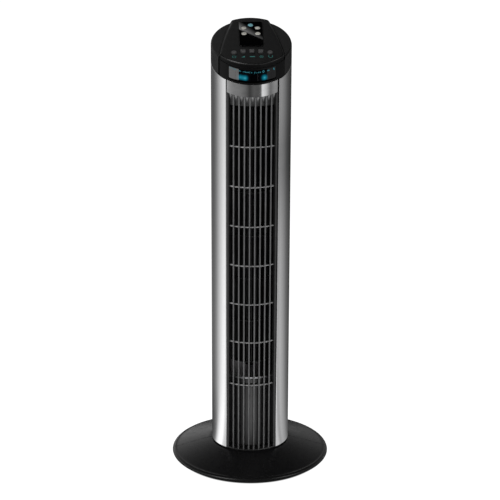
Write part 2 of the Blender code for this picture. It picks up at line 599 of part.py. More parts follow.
# ---- pinion of the oscillation drive ----------------------------------------------------
pts = []
for k in range(PINION_N):
    pts += [(a + pi / PINION_N, r) for a, r in tooth(PINION_N, GEAR_M, 2 * pi * k / PINION_N)]
# a gap faces the fixed gear (+Y side of the pinion)
pin = add("drive_pinion", *prism(polar(pts), 22.8, 29.8), NYLON, axis=pinion_axis, smooth=20)
cut(pin, "pinion_shaft", *prism(circle(3.0, 12), 29.0, 37.4), op="UNION")

# ======================================================================================
# CONTROL KEYS (travel along the panel's normal)
# ======================================================================================
for k, (x, y) in enumerate(zip(KEY_X, KEY_Y)):
    key = empty("key_%d_axis" % (k + 1), (x, y / cos(t), 0), parent=panel)
    a = rounded(12.6, 14.6, (3.6,) * 4, 3)
    b = rounded(9.6, 11.6, (3.1,) * 4, 3)
    c = rounded(8.0, 10.0, (2.8,) * 4, 3)
    loops = [[(px, py, -8.9) for px, py in a], [(px, py, -7.75) for px, py in a], [(px, py, -7.75) for px, py in b],
             [(px, py, 1.0) for px, py in b], [(px, py, 1.7) for px, py in c]]
    add("control_key_%d" % (k + 1), *stack(loops), KEYBLACK, axis=key)

# ======================================================================================
# REMOTE CONTROL, resting in its pocket
# ======================================================================================
remote = empty("remote_axis", (0, REMOTE_V, 0), parent=panel)
corner = (3.6, 3.6, 6.0, 6.0)
shape = rounded(REMOTE_W, REMOTE_L, corner, 4)
small = rounded(REMOTE_W - 2.4, REMOTE_L - 2.4, (2.6, 2.6, 5.0, 5.0), 4)
case = add("remote_case", *stack([[(x, y, -5.1) for x, y in small], [(x, y, -3.9) for x, y in shape], [(x, y, -0.5) for x, y in shape]]), GLOSS, axis=remote)
cut(case, "key_well", *prism(rounded(35.0, 41.0, (3,) * 4, 2, 0, 32.3 - REMOTE_V), -3.4, 2.0))
cut(case, "battery_slot", *box(-12.3, 12.3, -REMOTE_L / 2 - 3, -REMOTE_L / 2 + 24.0, -3.6, -1.4))
add("battery_tray", *box(-12.0, 12.0, -REMOTE_L / 2 + 0.2, -REMOTE_L / 2 + 23.5, -3.3, -1.7), BLACK, axis=remote)
face = add("remote_face", *stack([[(x, y, -0.2) for x, y in shape], [(x, y, 0.7) for x, y in shape], [(x, y, 1.1) for x, y in rounded(REMOTE_W - 0.8, REMOTE_L - 0.8, (3.2, 3.2, 5.6, 5.6), 4)]]), GLOSS, axis=remote)
cut(face, "face_holes", *merge(*[prism(circle(5.0, 16, x, v_ - REMOTE_V), -3, 4) for _, x, v_ in REMOTE_KEYS]))
for name, x, v_ in REMOTE_KEYS:
    e = empty("remote_key_%s_axis" % name, (x, v_ - REMOTE_V, 0), parent=remote)
    v, f = solid_turn([(0, -1.6), (5.9, -1.6), (5.9, -0.6), (4.65, -0.6), (4.65, 1.3), (4.1, 1.7), (0, 1.8)], 16)
    add("remote_key_" + name, v, f, KEYBLUE if name == "power" else KEYWHITE, axis=e)
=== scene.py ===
"""The looks of the tower fan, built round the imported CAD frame.

Lengths in the shape code are millimetres and become metres in put(). +Z is up and the front faces -Y.
Angles round the tower are degrees from the front towards +X. The head is cut on a slope: a point of
the head has h, and its height is h + SLOPE * y.
"""
from math import sin, cos, tan, radians, degrees, atan, atan2, pi, sqrt

import bpy
import bmesh
from mathutils import Matrix, Vector


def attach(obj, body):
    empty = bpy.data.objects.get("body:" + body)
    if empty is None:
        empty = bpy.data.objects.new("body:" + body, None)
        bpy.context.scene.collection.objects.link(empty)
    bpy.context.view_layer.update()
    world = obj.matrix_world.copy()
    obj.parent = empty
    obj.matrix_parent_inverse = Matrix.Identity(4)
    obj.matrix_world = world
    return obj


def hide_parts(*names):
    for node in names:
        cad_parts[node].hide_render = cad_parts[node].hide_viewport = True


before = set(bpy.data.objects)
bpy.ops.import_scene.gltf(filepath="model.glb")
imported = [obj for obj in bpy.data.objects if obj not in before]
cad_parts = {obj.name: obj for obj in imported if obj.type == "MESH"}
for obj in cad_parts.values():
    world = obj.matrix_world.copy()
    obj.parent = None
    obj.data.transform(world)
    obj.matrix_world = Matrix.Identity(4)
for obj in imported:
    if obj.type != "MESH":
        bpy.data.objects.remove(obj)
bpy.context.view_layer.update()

MM = 0.001
R = 66.25
SLOPE = 0.38
TILT = atan(SLOPE)
CT, ST = cos(TILT), sin(TILT)
Z_BOTTOM = 33.5
H_LOW = 701.5
H_SHOULDER = 731.2
H_PANEL = 735.0
H_BADGE = 680.2
A_FRONT, A_REAR = 39.7, 118.0
A_PANEL, A_WINDOW = 51.9, 35.3
RIB_PITCH = 8.92
RUNG_Z = (571.0, 502.7, 434.4, 366.1, 297.8, 229.5, 152.0)
IMP_Y, IMP_R, IMP_Z0, IMP_Z1 = 6.0, 42.0, 184.0, 637.0
KEY_X = (-29.2, -14.6, 0.0, 14.6, 29.2)
KEY_Y = (-34.0, -31.0, -30.4, -31.0, -34.0)
REMOTE_W, REMOTE_L, REMOTE_V = 39.6, 74.6, 18.9
REMOTE_KEYS = (("power", 0.0, 45.1), ("a", -11.2, 36.3), ("b", 11.2, 36.3), ("c", -11.2, 19.5), ("d", 11.2, 19.5))
# upper edge of the raised panel's flank, and how far the flank spreads towards the shoulder
SPINE = [(28.2, 59.3), (29.7, 53.0), (31.5, 46.0), (33.6, 39.2), (37.0, 28.5), (39.9, 18.0), (42.5, 7.0), (45.0, -4.0), (47.0, -14.0),
         (48.8, -24.0), (50.2, -32.0), (51.4, -38.5)]
FLANK = [(60.0, 3.9), (40.0, 4.4), (22.0, 4.2), (3.0, 3.4), (-16.0, 3.2), (-30.0, 3.0), (-45.0, 2.4)]

# ======================================================================================
# materials: every one is made of nodes
# ======================================================================================
class Mat:
    def __init__(self, name, color, rough, metal=0.0, spec=0.5, coat=0.0, coat_rough=0.05, ior=1.46):
        self.m = bpy.data.materials.new(name)
        self.m.use_nodes = True
        self.t = self.m.node_tree
        self.b = self.t.nodes["Principled BSDF"]
        self.color, self.rough = color, rough
        self.b.inputs["Base Color"].default_value = (*color, 1)
        self.b.inputs["Roughness"].default_value = rough
        self.b.inputs["Metallic"].default_value = metal
        self.b.inputs["Specular IOR Level"].default_value = spec
        self.b.inputs["IOR"].default_value = ior
        self.b.inputs["Coat Weight"].default_value = coat
        self.b.inputs["Coat Roughness"].default_value = coat_rough
        self.m.diffuse_color = (*color, 1)
        self.co = self.node("ShaderNodeTexCoord").outputs["Object"]
        self.height = None

    def node(self, kind, **kw):
        n = self.t.nodes.new(kind)
        for k, v in kw.items():
            setattr(n, k, v)
        return n

    def link(self, a, b):
        self.t.links.new(a, b)

    def noise(self, scale, detail=2.0, rough=0.5, stretch=None, coords=None):
        n = self.node("ShaderNodeTexNoise")
        n.inputs["Scale"].default_value = scale
        n.inputs["Detail"].default_value = detail
        n.inputs["Roughness"].default_value = rough
        src = coords or self.co
        if stretch:
            mp = self.node("ShaderNodeMapping")
            mp.inputs["Scale"].default_value = stretch
            self.link(src, mp.inputs["Vector"])
            src = mp.outputs["Vector"]
        self.link(src, n.inputs["Vector"])
        return n.outputs["Fac"]

    def voronoi(self, scale, feature="F1", coords=None, out="Distance"):
        n = self.node("ShaderNodeTexVoronoi", feature=feature)
        n.inputs["Scale"].default_value = scale
        self.link(coords or self.co, n.inputs["Vector"])
        return n.outputs[out]

    def ramp(self, fac, lo, hi, a=0.3, b=0.7):
        """Maps fac from [a, b] to [lo, hi]."""
        n = self.node("ShaderNodeMapRange")
        n.inputs["From Min"].default_value = a
        n.inputs["From Max"].default_value = b
        n.inputs["To Min"].default_value = lo
        n.inputs["To Max"].default_value = hi
        self.link(fac, n.inputs["Value"])
        return n.outputs["Result"]

    def tint(self, fac, dark, light, a=0.3, b=0.7):
        n = self.node("ShaderNodeValToRGB")
        n.color_ramp.elements[0].position, n.color_ramp.elements[1].position = a, b
        n.color_ramp.elements[0].color = (*dark, 1)
        n.color_ramp.elements[1].color = (*light, 1)
        self.link(fac, n.inputs["Fac"])
        return n.outputs["Color"]

    def add_height(self, fac, dist):
        """Stacks bumps, dist in metres."""
        n = self.node("ShaderNodeBump")
        n.inputs["Strength"].default_value = 1.0
        n.inputs["Distance"].default_value = dist
        self.link(fac, n.inputs["Height"])
        if self.height:
            self.link(self.height, n.inputs["Normal"])
        self.height = n.outputs["Normal"]
        self.link(self.height, self.b.inputs["Normal"])

    def set(self, name, out):
        self.link(out, self.b.inputs[name])

    def math(self, op, a, b=None):
        n = self.node("ShaderNodeMath", operation=op)
        for i, v in enumerate((a, b)):
            if v is None:
                continue
            if isinstance(v, (int, float)):
                n.inputs[i].default_value = v
            else:
                self.link(v, n.inputs[i])
        return n.outputs[0]

    def around(self):
        """Coordinates wrapped round the tower: (angle * R, height, 0) in metres."""
        s = self.node("ShaderNodeSeparateXYZ")
        self.link(self.co, s.inputs[0])
        ang = self.math("ARCTAN2", s.outputs["X"], self.math("MULTIPLY", s.outputs["Y"], -1.0))
        c = self.node("ShaderNodeCombineXYZ")
        self.link(self.math("MULTIPLY", ang, R * MM), c.inputs[0])
        self.link(s.outputs["Z"], c.inputs[1])
        return c.outputs[0]


def scaled(c, k):
    return tuple(min(1.0, x * k) for x in c)


def moulded(name, color, rough, grain=3200, depth=6e-6, spec=0.5, coat=0.0):
    """Moulded plastic with a fine spark-eroded grain, a faint flow mottle and handling marks."""
    m = Mat(name, color, rough, spec=spec, coat=coat)
    flow = m.noise(28, 3)
    fine = m.noise(grain, 2, 0.6)
    m.set("Base Color", m.tint(flow, scaled(color, 0.86), scaled(color, 1.16)))
    marks = m.noise(90, 5, 0.65)
    m.set("Roughness", m.ramp(m.math("ADD", m.math("MULTIPLY", marks, 0.6), m.math("MULTIPLY", fine, 0.4)), rough - 0.05, rough + 0.06, 0.35, 0.65))
    m.add_height(fine, depth)
    m.add_height(flow, 2.5e-5)
    return m


def glossy(name, color, rough=0.06, spec=0.5, wave=2.0e-5):
    m = Mat(name, color, rough, spec=spec)
    smear = m.noise(160, 6, 0.7)
    m.set("Roughness", m.ramp(smear, rough * 0.7, rough * 1.8, 0.4, 0.75))
    m.set("Base Color", m.tint(m.noise(60, 2), scaled(color, 0.85), scaled(color, 1.2)))
    m.add_height(m.noise(18, 2), wave)
    return m


def lacquer(name, color, rough, metal):
    """Silver metallic lacquer: fine flakes under a slightly wavy coat."""
    m = Mat(name, color, rough, metal=metal)
    flakes = m.voronoi(5200, out="Color")
    s = m.node("ShaderNodeSeparateColor")
    m.link(flakes, s.inputs[0])
    m.set("Base Color", m.tint(s.outputs[0], scaled(color, 0.9), scaled(color, 1.08), 0.0, 1.0))
    m.set("Roughness", m.ramp(m.noise(45, 3), rough - 0.025, rough + 0.03))
    m.add_height(s.outputs[1], 1.2e-6)
    m.add_height(m.noise(700, 2), 1.6e-6)
    return m


def steel(name, color, rough, grain=(1, 1, 12), depth=3e-6):
    m = Mat(name, color, rough, metal=1.0)
    lines = m.noise(900, 4, 0.7, stretch=grain)
    spangle = m.voronoi(260, out="Color")
    s = m.node("ShaderNodeSeparateColor")
    m.link(spangle, s.inputs[0])
    m.set("Base Color", m.tint(m.math("ADD", m.math("MULTIPLY", lines, 0.6), m.math("MULTIPLY", s.outputs[0], 0.4)), scaled(color, 0.82), scaled(color, 1.12), 0.2, 0.8))
    m.set("Roughness", m.ramp(lines, rough - 0.06, rough + 0.1))
    m.add_height(lines, depth)
    return m


SATIN = moulded("head_satin_black", (0.0048, 0.0048, 0.0050), 0.42, spec=0.36)
SPINE_M = moulded("panel_satin_black", (0.0028, 0.0028, 0.0030), 0.38, spec=0.30)
# the panel's top is a little more polished than its front wall
split = SPINE_M.node("ShaderNodeSeparateXYZ")
SPINE_M.link(SPINE_M.co, split.inputs[0])
rise = SPINE_M.math("SUBTRACT", split.outputs["Z"], SPINE_M.math("MULTIPLY", split.outputs["Y"], SLOPE))
SPINE_M.set("Specular IOR Level", SPINE_M.ramp(rise, 0.12, 0.22, 0.7315, 0.7340))
RIM_M = moulded("panel_rim_satin", (0.006, 0.006, 0.0062), 0.24, spec=0.5)
BASE_M = moulded("base_satin_black", (0.009, 0.009, 0.0095), 0.30, grain=2600, depth=5e-6)
GRILLE_M = moulded("grille_dark_grey", (0.125, 0.125, 0.127), 0.30, grain=2800, depth=3e-6)
SHADE_M = moulded("inner_black", (0.010, 0.010, 0.0105), 0.5)
SHROUD_M = moulded("shroud_dark_grey", (0.010, 0.010, 0.0105), 0.30)
CLOSURE_M = moulded("closure_grey", (0.048, 0.048, 0.0485), 0.38)
RAIL_M = moulded("rail_dark_grey", (0.024, 0.024, 0.0245), 0.34)
RUNG_M = moulded("rung_grey", (0.52, 0.52, 0.522), 0.28)
# wedges in the slots under the plate: painted light, a lit centre between the fins' shadows, light at the top and
# darker towards the tip
LIT_WEDGE_M = moulded("wedge_painted_light", (0.20, 0.20, 0.202), 0.36)
split = LIT_WEDGE_M.node("ShaderNodeSeparateXYZ")
LIT_WEDGE_M.link(LIT_WEDGE_M.co, split.inputs[0])
rise = LIT_WEDGE_M.math("SUBTRACT", split.outputs["Z"], LIT_WEDGE_M.math("MULTIPLY", split.outputs["Y"], SLOPE))
LIT_WEDGE_M.set("Base Color", LIT_WEDGE_M.tint(LIT_WEDGE_M.ramp(LIT_WEDGE_M.math("ADD", rise, LIT_WEDGE_M.math("MULTIPLY", LIT_WEDGE_M.noise(400), 0.0006)), 0.0, 1.0, 0.6685, 0.6812), (0.030, 0.030, 0.0305), (0.25, 0.25, 0.252), 0.0, 1.0))
REAR_M = moulded("rear_satin_black", (0.014, 0.014, 0.0145), 0.45)
WHEEL_M = moulded("wheel_black", (0.006, 0.006, 0.006), 0.5)
GLOSS_M = glossy("remote_gloss_black", (0.0004, 0.0004, 0.0006), 0.02, wave=2.0e-6)
# near-black and almost shineless: painted shade, for the strip deep in the panel's joint and the band at the grille's
# foot
JOINT_SHADE_M = moulded("joint_shade_black", (0.0012, 0.0012, 0.0013), 0.6, spec=0.12)
WINDOW_M = glossy("window_smoked", (0.0007, 0.0007, 0.0012), 0.05)
KEY_M = moulded("key_satin", (0.030, 0.030, 0.031), 0.30, grain=3600, depth=2e-6)
SILVER_M = lacquer("cover_silver", (0.66, 0.66, 0.665), 0.15, 1.0)
NYLON_M = moulded("nylon_natural", (0.70, 0.69, 0.64), 0.48, grain=1800, depth=4e-6)
RUBBER_M = moulded("rubber_black", (0.018, 0.018, 0.018), 0.75, grain=1500, depth=1.2e-5)
STEEL_M = steel("zinc_steel", (0.56, 0.56, 0.57), 0.32)
MOTOR_M = steel("motor_steel", (0.30, 0.30, 0.31), 0.38)
WIRE_M = moulded("loom_sleeve", (0.02, 0.02, 0.021), 0.6, grain=1200, depth=3e-5)
WHITEKEY_M = moulded("silicone_offwhite", (0.70, 0.69, 0.63), 0.55, grain=2400, depth=4e-6)
BLUEKEY_M = moulded("silicone_blue", (0.26, 0.58, 0.66), 0.55, grain=2400, depth=4e-6)
CAP_M = moulded("capacitor_case", (0.55, 0.55, 0.52), 0.4)

# brushed plate: lines run round the tower
BRUSHED = Mat("plate_brushed", (0.46, 0.46, 0.462), 0.10, metal=1.0)
wrap = BRUSHED.around()
lines = BRUSHED.noise(1.0, 5, 0.7, stretch=(70, 5200, 1), coords=wrap)
clouds = BRUSHED.noise(1.0, 3, 0.6, stretch=(60, 110, 1), coords=wrap)
mix = BRUSHED.math("ADD", BRUSHED.math("MULTIPLY", lines, 0.5), BRUSHED.math("MULTIPLY", clouds, 0.5))
BRUSHED.set("Base Color", BRUSHED.tint(mix, (0.40, 0.40, 0.402), (0.53, 0.53, 0.532), 0.33, 0.67))
BRUSHED.set("Roughness", BRUSHED.ramp(lines, 0.07, 0.14))
BRUSHED.add_height(lines, 6.0e-7)

# circuit board: solder mask with traces
PCB = Mat("circuit_board", (0.01, 0.11, 0.045), 0.42)
bricks = PCB.node("ShaderNodeTexBrick")
bricks.inputs["Scale"].default_value = 320
bricks.inputs["Mortar Size"].default_value = 0.03
for i, c in ((1, (0.008, 0.09, 0.036)), (2, (0.012, 0.13, 0.05)), (3, (0.35, 0.30, 0.12))):
    bricks.inputs[i].default_value = (*c, 1)
PCB.link(PCB.co, bricks.inputs["Vector"])
PCB.set("Base Color", bricks.outputs["Color"])
PCB.add_height(bricks.outputs["Fac"], 3e-5)


def glow(name, color, strength, rough=0.4, base=None):
    """Backlit print: even emission with a slightly uneven ink."""
    m = Mat(name, base or color, rough)
    ink = m.noise(900, 3)
    m.set("Emission Color", m.tint(ink, scaled(color, 0.85), scaled(color, 1.1)))
    m.b.inputs["Emission Strength"].default_value = strength
    m.set("Base Color", m.tint(ink, scaled(base or color, 0.5), scaled(base or color, 0.7)))
    return m


ICON_M = glow("icon_cyan", (0.012, 0.125, 0.16), 1.0, base=(0.01, 0.05, 0.06))
TEAL_M = glow("icon_teal", (0.028, 0.125, 0.115), 1.0, base=(0.02, 0.06, 0.055))

# ======================================================================================
# shape helpers
# ======================================================================================
def at(a, r):
    return r * sin(radians(a)), -r * cos(radians(a))


def spread(a0, a1, n):
    return [a0 + (a1 - a0) * i / n for i in range(n + 1)]


def merge(*shapes):
    v, f = [], []
    for sv, sf in shapes:
        k = len(v)
        v += sv
        f += [tuple(i + k for i in face) for face in sf]
    return v, f


def stack(loops):
    n = len(loops[0])
    v = [p for loop in loops for p in loop]
    f = [tuple(range(n))[::-1], tuple(range((len(loops) - 1) * n, len(loops) * n))]
    for k in range(len(loops) - 1):
        f += [(k * n + i, k * n + (i + 1) % n, (k + 1) * n + (i + 1) % n, (k + 1) * n + i) for i in range(n)]
    return v, f


def prism(loop, z0, z1):
    return stack([[(x, y, z0) for x, y in loop], [(x, y, z1) for x, y in loop]])


def circle(r, n=48, cx=0.0, cy=0.0):
    return [(cx + r * cos(2 * pi * i / n), cy + r * sin(2 * pi * i / n)) for i in range(n)]


def rounded(w, l, radii, n=8, cx=0.0, cy=0.0):
    pts = []
    for k, (sx, sy) in enumerate(((1, 1), (-1, 1), (-1, -1), (1, -1))):
        r = radii[k]
        ox, oy = sx * (w / 2 - r), sy * (l / 2 - r)
        for i in range(n + 1):
            a = pi / 2 * k + pi / 2 * i / n
            pts.append((cx + ox + r * cos(a), cy + oy + r * sin(a)))
    return pts


def revolve(profile, n, a0=None, a1=None, cy=0.0, slope=0.0, dy=0.0):
    """A closed (r, z) profile turned round Z."""
    full = a0 is None
    steps = n if full else n + 1
    m = len(profile)
    v, f = [], []
    for s in range(steps):
        a = 360.0 * s / n if full else a0 + (a1 - a0) * s / n
        for r, z in profile:
            x, y = at(a, r)
            v.append((x, cy + y + dy, z + slope * (cy + y)))
    for s in range(n):
        t = (s + 1) % steps
        for i in range(m):
            j = (i + 1) % m
            f.append((s * m + i, s * m + j, t * m + j, t * m + i))
    if not full:
        f += [tuple(range(m)), tuple(range((steps - 1) * m, steps * m))[::-1]]
    return v, f


def turned(profile, n, cx=0.0, cy=0.0):
    """An open profile that starts and ends on the axis, turned into a solid."""
    v, f, rings = [], [], []
    for r, z in profile:
        if r < 1e-9:
            rings.append([len(v)])
            v.append((cx, cy, z))
        else:
            rings.append(list(range(len(v), len(v) + n)))
            v += [(cx + r * cos(2 * pi * i / n), cy + r * sin(2 * pi * i / n), z) for i in range(n)]
    for p, q in zip(rings, rings[1:]):
        for i in range(n):
            j = (i + 1) % n
            if len(p) == 1:
                f.append((p[0], q[j], q[i]))
            elif len(q) == 1:
                f.append((p[i], p[j], q[0]))
            else:
                f.append((p[i], p[j], q[j], q[i]))
    return v, f


def curved(angles, low, high, r_out, r_in, slope=0.0, rows=1):
    """A piece of curved wall: at each angle it runs from low to high (numbers or functions of the angle)."""
    lo = low if callable(low) else (lambda a: low)
    hi = high if callable(high) else (lambda a: high)
    na, nz = len(angles), rows + 1
    v, f = [], []
    for r in (r_out, r_in):
        for a in angles:
            x, y = at(a, r)
            yo = at(a, r_out)[1]
            for k in range(nz):
                h = lo(a) + (hi(a) - lo(a)) * k / rows
                v.append((x, y, h + slope * yo))
    idx = lambda s, i, k: s * na * nz + i * nz + k
    for i in range(na - 1):
        for k in range(nz - 1):
            f.append((idx(0, i, k), idx(0, i + 1, k), idx(0, i + 1, k + 1), idx(0, i, k + 1)))
            f.append((idx(1, i, k + 1), idx(1, i + 1, k + 1), idx(1, i + 1, k), idx(1, i, k)))
        f.append((idx(0, i + 1, 0), idx(0, i, 0), idx(1, i, 0), idx(1, i + 1, 0)))
        k = nz - 1
        f.append((idx(0, i, k), idx(0, i + 1, k), idx(1, i + 1, k), idx(1, i, k)))
    for k in range(nz - 1):
        f.append((idx(0, 0, k), idx(0, 0, k + 1), idx(1, 0, k + 1), idx(1, 0, k)))
        i = na - 1
        f.append((idx(0, i, k + 1), idx(0, i, k), idx(1, i, k), idx(1, i, k + 1)))
    return v, f


def rounded_span(a0, a1, h0, h1, r, n=24, m=6, low_r=None):
    """Angles and low/high functions for a window on the wall with rounded corners (r in mm)."""
    low_r = r if low_r is None else low_r
    big = max(r, low_r)
    ends = [degrees(big * (1 - cos(pi / 2 * i / m)) / R) for i in range(m + 1)]
    angles = [a0 + e for e in ends] + spread(a0 + ends[-1], a1 - ends[-1], n)[1:-1] + [a1 - e for e in reversed(ends)]

    def inset(a, rr):
        d = min(radians(a - a0), radians(a1 - a)) * R
        return 0.0 if d >= rr or rr <= 0 else rr - sqrt(max(0.0, rr * rr - (rr - d) ** 2))

    return angles, (lambda a: h0 + min(inset(a, low_r), (h1 - h0) / 2 - 0.01)), (lambda a: h1 - min(inset(a, r), (h1 - h0) / 2 - 0.01))


def on_panel(verts):
    """From the panel's plane (across, up the slope, out of it) to the world."""
    return [(u, v * CT - n * ST, H_PANEL + v * ST + n * CT) for u, v, n in verts]


def sheared(shape):
    v, f = shape
    return [(x, y, z + SLOPE * y) for x, y, z in v], f


def put(name, shape, mat, body, smooth=38, bevel=0.0, seg=2, bevel_angle=50, helper=False, weighted=False):
    verts, faces = shape
    me = bpy.data.meshes.new(name)
    me.from_pydata([tuple(c * MM for c in p) for p in verts], [], faces)
    bm = bmesh.new()
    bm.from_mesh(me)
    bmesh.ops.remove_doubles(bm, verts=bm.verts, dist=2e-7)
    bmesh.ops.recalc_face_normals(bm, faces=bm.faces)
    bm.to_mesh(me)
    bm.free()
    me.shade_smooth()
    if not bevel:
        me.set_sharp_from_angle(angle=radians(smooth))
    ob = bpy.data.objects.new(name, me)
    bpy.context.scene.collection.objects.link(ob)
    if helper:
        return ob
    me.materials.append(mat.m)
    if bevel:
        add_bevel(ob, bevel, seg, bevel_angle)
    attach(ob, body)
    return ob


def add_bevel(ob, width, seg=2, angle=50):
    b = ob.modifiers.new("bevel", "BEVEL")
    b.width = width * MM
    b.segments = seg
    b.limit_method = "ANGLE"
    b.angle_limit = radians(angle)
    b.harden_normals = False
    b.use_clamp_overlap = True
    w = ob.modifiers.new("weighted", "WEIGHTED_NORMAL")
    w.keep_sharp = True
    w.weight = 80


def apply_all(ob):
    dg = bpy.context.evaluated_depsgraph_get()
    me = bpy.data.meshes.new_from_object(ob.evaluated_get(dg), preserve_all_data_layers=True, depsgraph=dg)
    old = ob.data
    ob.modifiers.clear()
    ob.data = me
    bpy.data.meshes.remove(old)


def carve(ob, *cutters, smooth=38):
    """Applies Boolean cuts now; a cutter is (shape, operation). The edges are marked sharp afterwards."""
    temps = []
    for k, (shape, op) in enumerate(cutters):
        c = put("cutter_%d" % k, shape, None, None, helper=True)
        temps.append(c)
        m = ob.modifiers.new("b%d" % k, "BOOLEAN")
        m.operation, m.solver, m.object = op, "EXACT", c
        if op == "UNION":
            m.use_self = False
    bpy.context.view_layer.update()
    apply_all(ob)
    for c in temps:
        me = c.data
        bpy.data.objects.remove(c)
        bpy.data.meshes.remove(me)
    bm = bmesh.new()
    bm.from_mesh(ob.data)
    bmesh.ops.remove_doubles(bm, verts=bm.verts, dist=1e-6)
    bmesh.ops.dissolve_degenerate(bm, edges=bm.edges, dist=1e-6)
    for e in bm.edges:
        if len(e.link_faces) == 2:
            e.smooth = e.calc_face_angle(0.0) < radians(smooth)
    bm.to_mesh(ob.data)
    bm.free()
    for p in ob.data.polygons:
        p.use_smooth = True
        p.material_index = 0


def dress(node, mat):
    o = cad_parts[node]
    if not o.data.materials:
        o.data.materials.append(mat.m)
    for s in o.material_slots:
        s.material = mat.m


# ======================================================================================
# camera
# ======================================================================================
cam_data = bpy.data.cameras.new("camera")
cam_data.sensor_width = 36.0
cam_data.lens = 36.0 * 1798.0 / 500.0
cam_data.clip_end = 100.0
cam_data.shift_x = -0.00118
cam_data.shift_y = 0.0010
cam = bpy.data.objects.new("camera", cam_data)
bpy.context.scene.collection.objects.link(cam)
AZ, PITCH, ROLL = radians(-2.1), radians(18.5928), radians(0.196)
eye = Vector((sin(AZ) * 2.8864, -cos(AZ) * 2.8864, 1.3449))
forward = Vector((-sin(AZ) * cos(PITCH), cos(AZ) * cos(PITCH), -sin(PITCH)))
right = Vector((cos(AZ), sin(AZ), 0.0))
up = right.cross(forward)
r2 = right * cos(ROLL) + up * sin(ROLL)
u2 = up * cos(ROLL) - right * sin(ROLL)
cam.matrix_world = Matrix.Translation(eye) @ Matrix((r2, u2, -forward)).transposed().to_4x4()
bpy.context.scene.camera = cam

# ======================================================================================
# base
# ======================================================================================
def arc(cx, cz, r, a0, a1, n):
    return [(cx + r * cos(radians(a0 + (a1 - a0) * i / n)), cz + r * sin(radians(a0 + (a1 - a0) * i / n))) for i in range(n + 1)]


def dome_z(r):
    """Top of the base: almost a cone, slightly crowned, rounding over at the rim."""
    t = (r - 69.5) / (134.0 - 69.5)
    return 30.6 - 18.6 * t - 1.1 * t * t + 1.7 * t * (1 - t)


top = [(46.0, 30.3), (66.0, 30.5)] + [(r, dome_z(r)) for r in (69.5, 74, 80, 87, 94, 101, 108, 115, 121, 125.5, 128.5)] + [(130.6, 13.15)]
rim = [(131.9, 12.6), (133.0, 12.05), (133.9, 11.4), (134.6, 10.65), (135.1, 9.8), (135.4, 8.9), (135.4, 8.2), (135.1, 7.5), (134.4, 6.7)]
under = [(131.5, 4.9), (128.2, 3.2), (126.6, 2.2), (125.8, 1.7), (125.0, 1.5), (108.0, 1.5), (107.2, 1.7), (107.0, 2.4), (107.0, 4.0),
         (122.0, 4.0), (130.0, 9.4), (121.0, 13.6), (92.0, 22.6), (72.0, 26.4), (66.5, 26.8), (66.5, 22.0), (46.0, 22.0)]
base_profile = top + rim + under
base_shells = []
for name, a0, a1, dy in (("front", -90.0, 90.0, -0.24), ("rear", 90.0, 270.0, 0.24)):
    ob = put("base_%s_shell" % name, revolve(base_profile, 96, a0, a1, dy=dy), BASE_M, "base", smooth=30)
    if name == "rear":
        carve(ob, (prism([(-6.0, 100.0), (6.0, 100.0), (6.0, 140.0), (-6.0, 140.0)], 0.5, 8.6), "DIFFERENCE"), smooth=30)
    add_bevel(ob, 0.35, 2, 60)
    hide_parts("base_" + name)
    base_shells.append(ob)

# ======================================================================================
# side covers
# ======================================================================================
def lean_edge(verts, s):
    """The front edges of the covers aren't quite upright: they open a little towards the top."""
    out = []
    for x, y, z in verts:
        a, r = degrees(atan2(x, -y)), sqrt(x * x + y * y)
        top = 0.2 if s < 0 else 0.5 + 1.3 * max(0.0, min(1.0, (z - 60.0) / 600.0))
        t = max(0.0, 1 - (abs(a) - A_FRONT) / 30.0)
        out.append((*at(a + s * top * t, r), z))
    return out


for name, s in (("left", -1), ("right", 1)):
    a = sorted((s * A_FRONT, s * A_REAR))
    shape = curved(spread(a[0], a[1], 64), lambda q: Z_BOTTOM - SLOPE * at(q, R)[1], H_LOW, R, R - 2.2, slope=SLOPE, rows=8)
    shape = (lean_edge(shape[0], s), shape[1])
    ob = put(name + "_cover_shell", shape, SILVER_M, "tower", bevel=0.6, seg=3)
    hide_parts(name + "_cover")

# ======================================================================================
# plate above the grille
# ======================================================================================
angles, lo, hi = rounded_span(-38.5, 38.5, H_BADGE + 0.8, H_LOW - 0.1, 0.6, n=48, m=4, low_r=1.6)
ob = put("badge_plate_skin", curved(angles, lo, hi, R - 0.1, R - 1.5, slope=SLOPE, rows=2), BRUSHED, "tower", bevel=0.3, seg=2)
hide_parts("badge_plate")

# ======================================================================================
# front grille
# ======================================================================================
R_GR = R - 0.35
parts = []


def blade(x, half, z0, nose=0.0):
    """A vertical fin of the grille with a rounded front; it runs down to z0 and up under the plate."""
    yo, yi = -sqrt(R_GR ** 2 - x * x), -sqrt(57.7 ** 2 - x * x)
    front = [(x + half * cos(radians(t)) * 0.98, yo + half * 0.9 - half * 0.9 * sin(radians(t))) for t in spread(0, 180, 8)]
    loop = [(x + half * 0.62, yi)] + front + [(x - half * 0.62, yi)]
    z_top = lambda y: min(H_BADGE + 0.1 + SLOPE * y, 1e9)
    loops = []
    for t, dz in ((0.55, 0.0), (0.8, 0.35), (1.0, 1.0)):
        loops.append([(x + (px - x) * t, py + (1 - t) * 1.2 * (1 if py < (yo + yi) / 2 else 0), z0 + dz) for px, py in loop])
    for z in (150.0, 300.0, 450.0, 600.0):
        loops.append([(px, py, z) for px, py in loop])
    loops.append([(px, py, z_top(py)) for px, py in loop])
    return stack(loops)


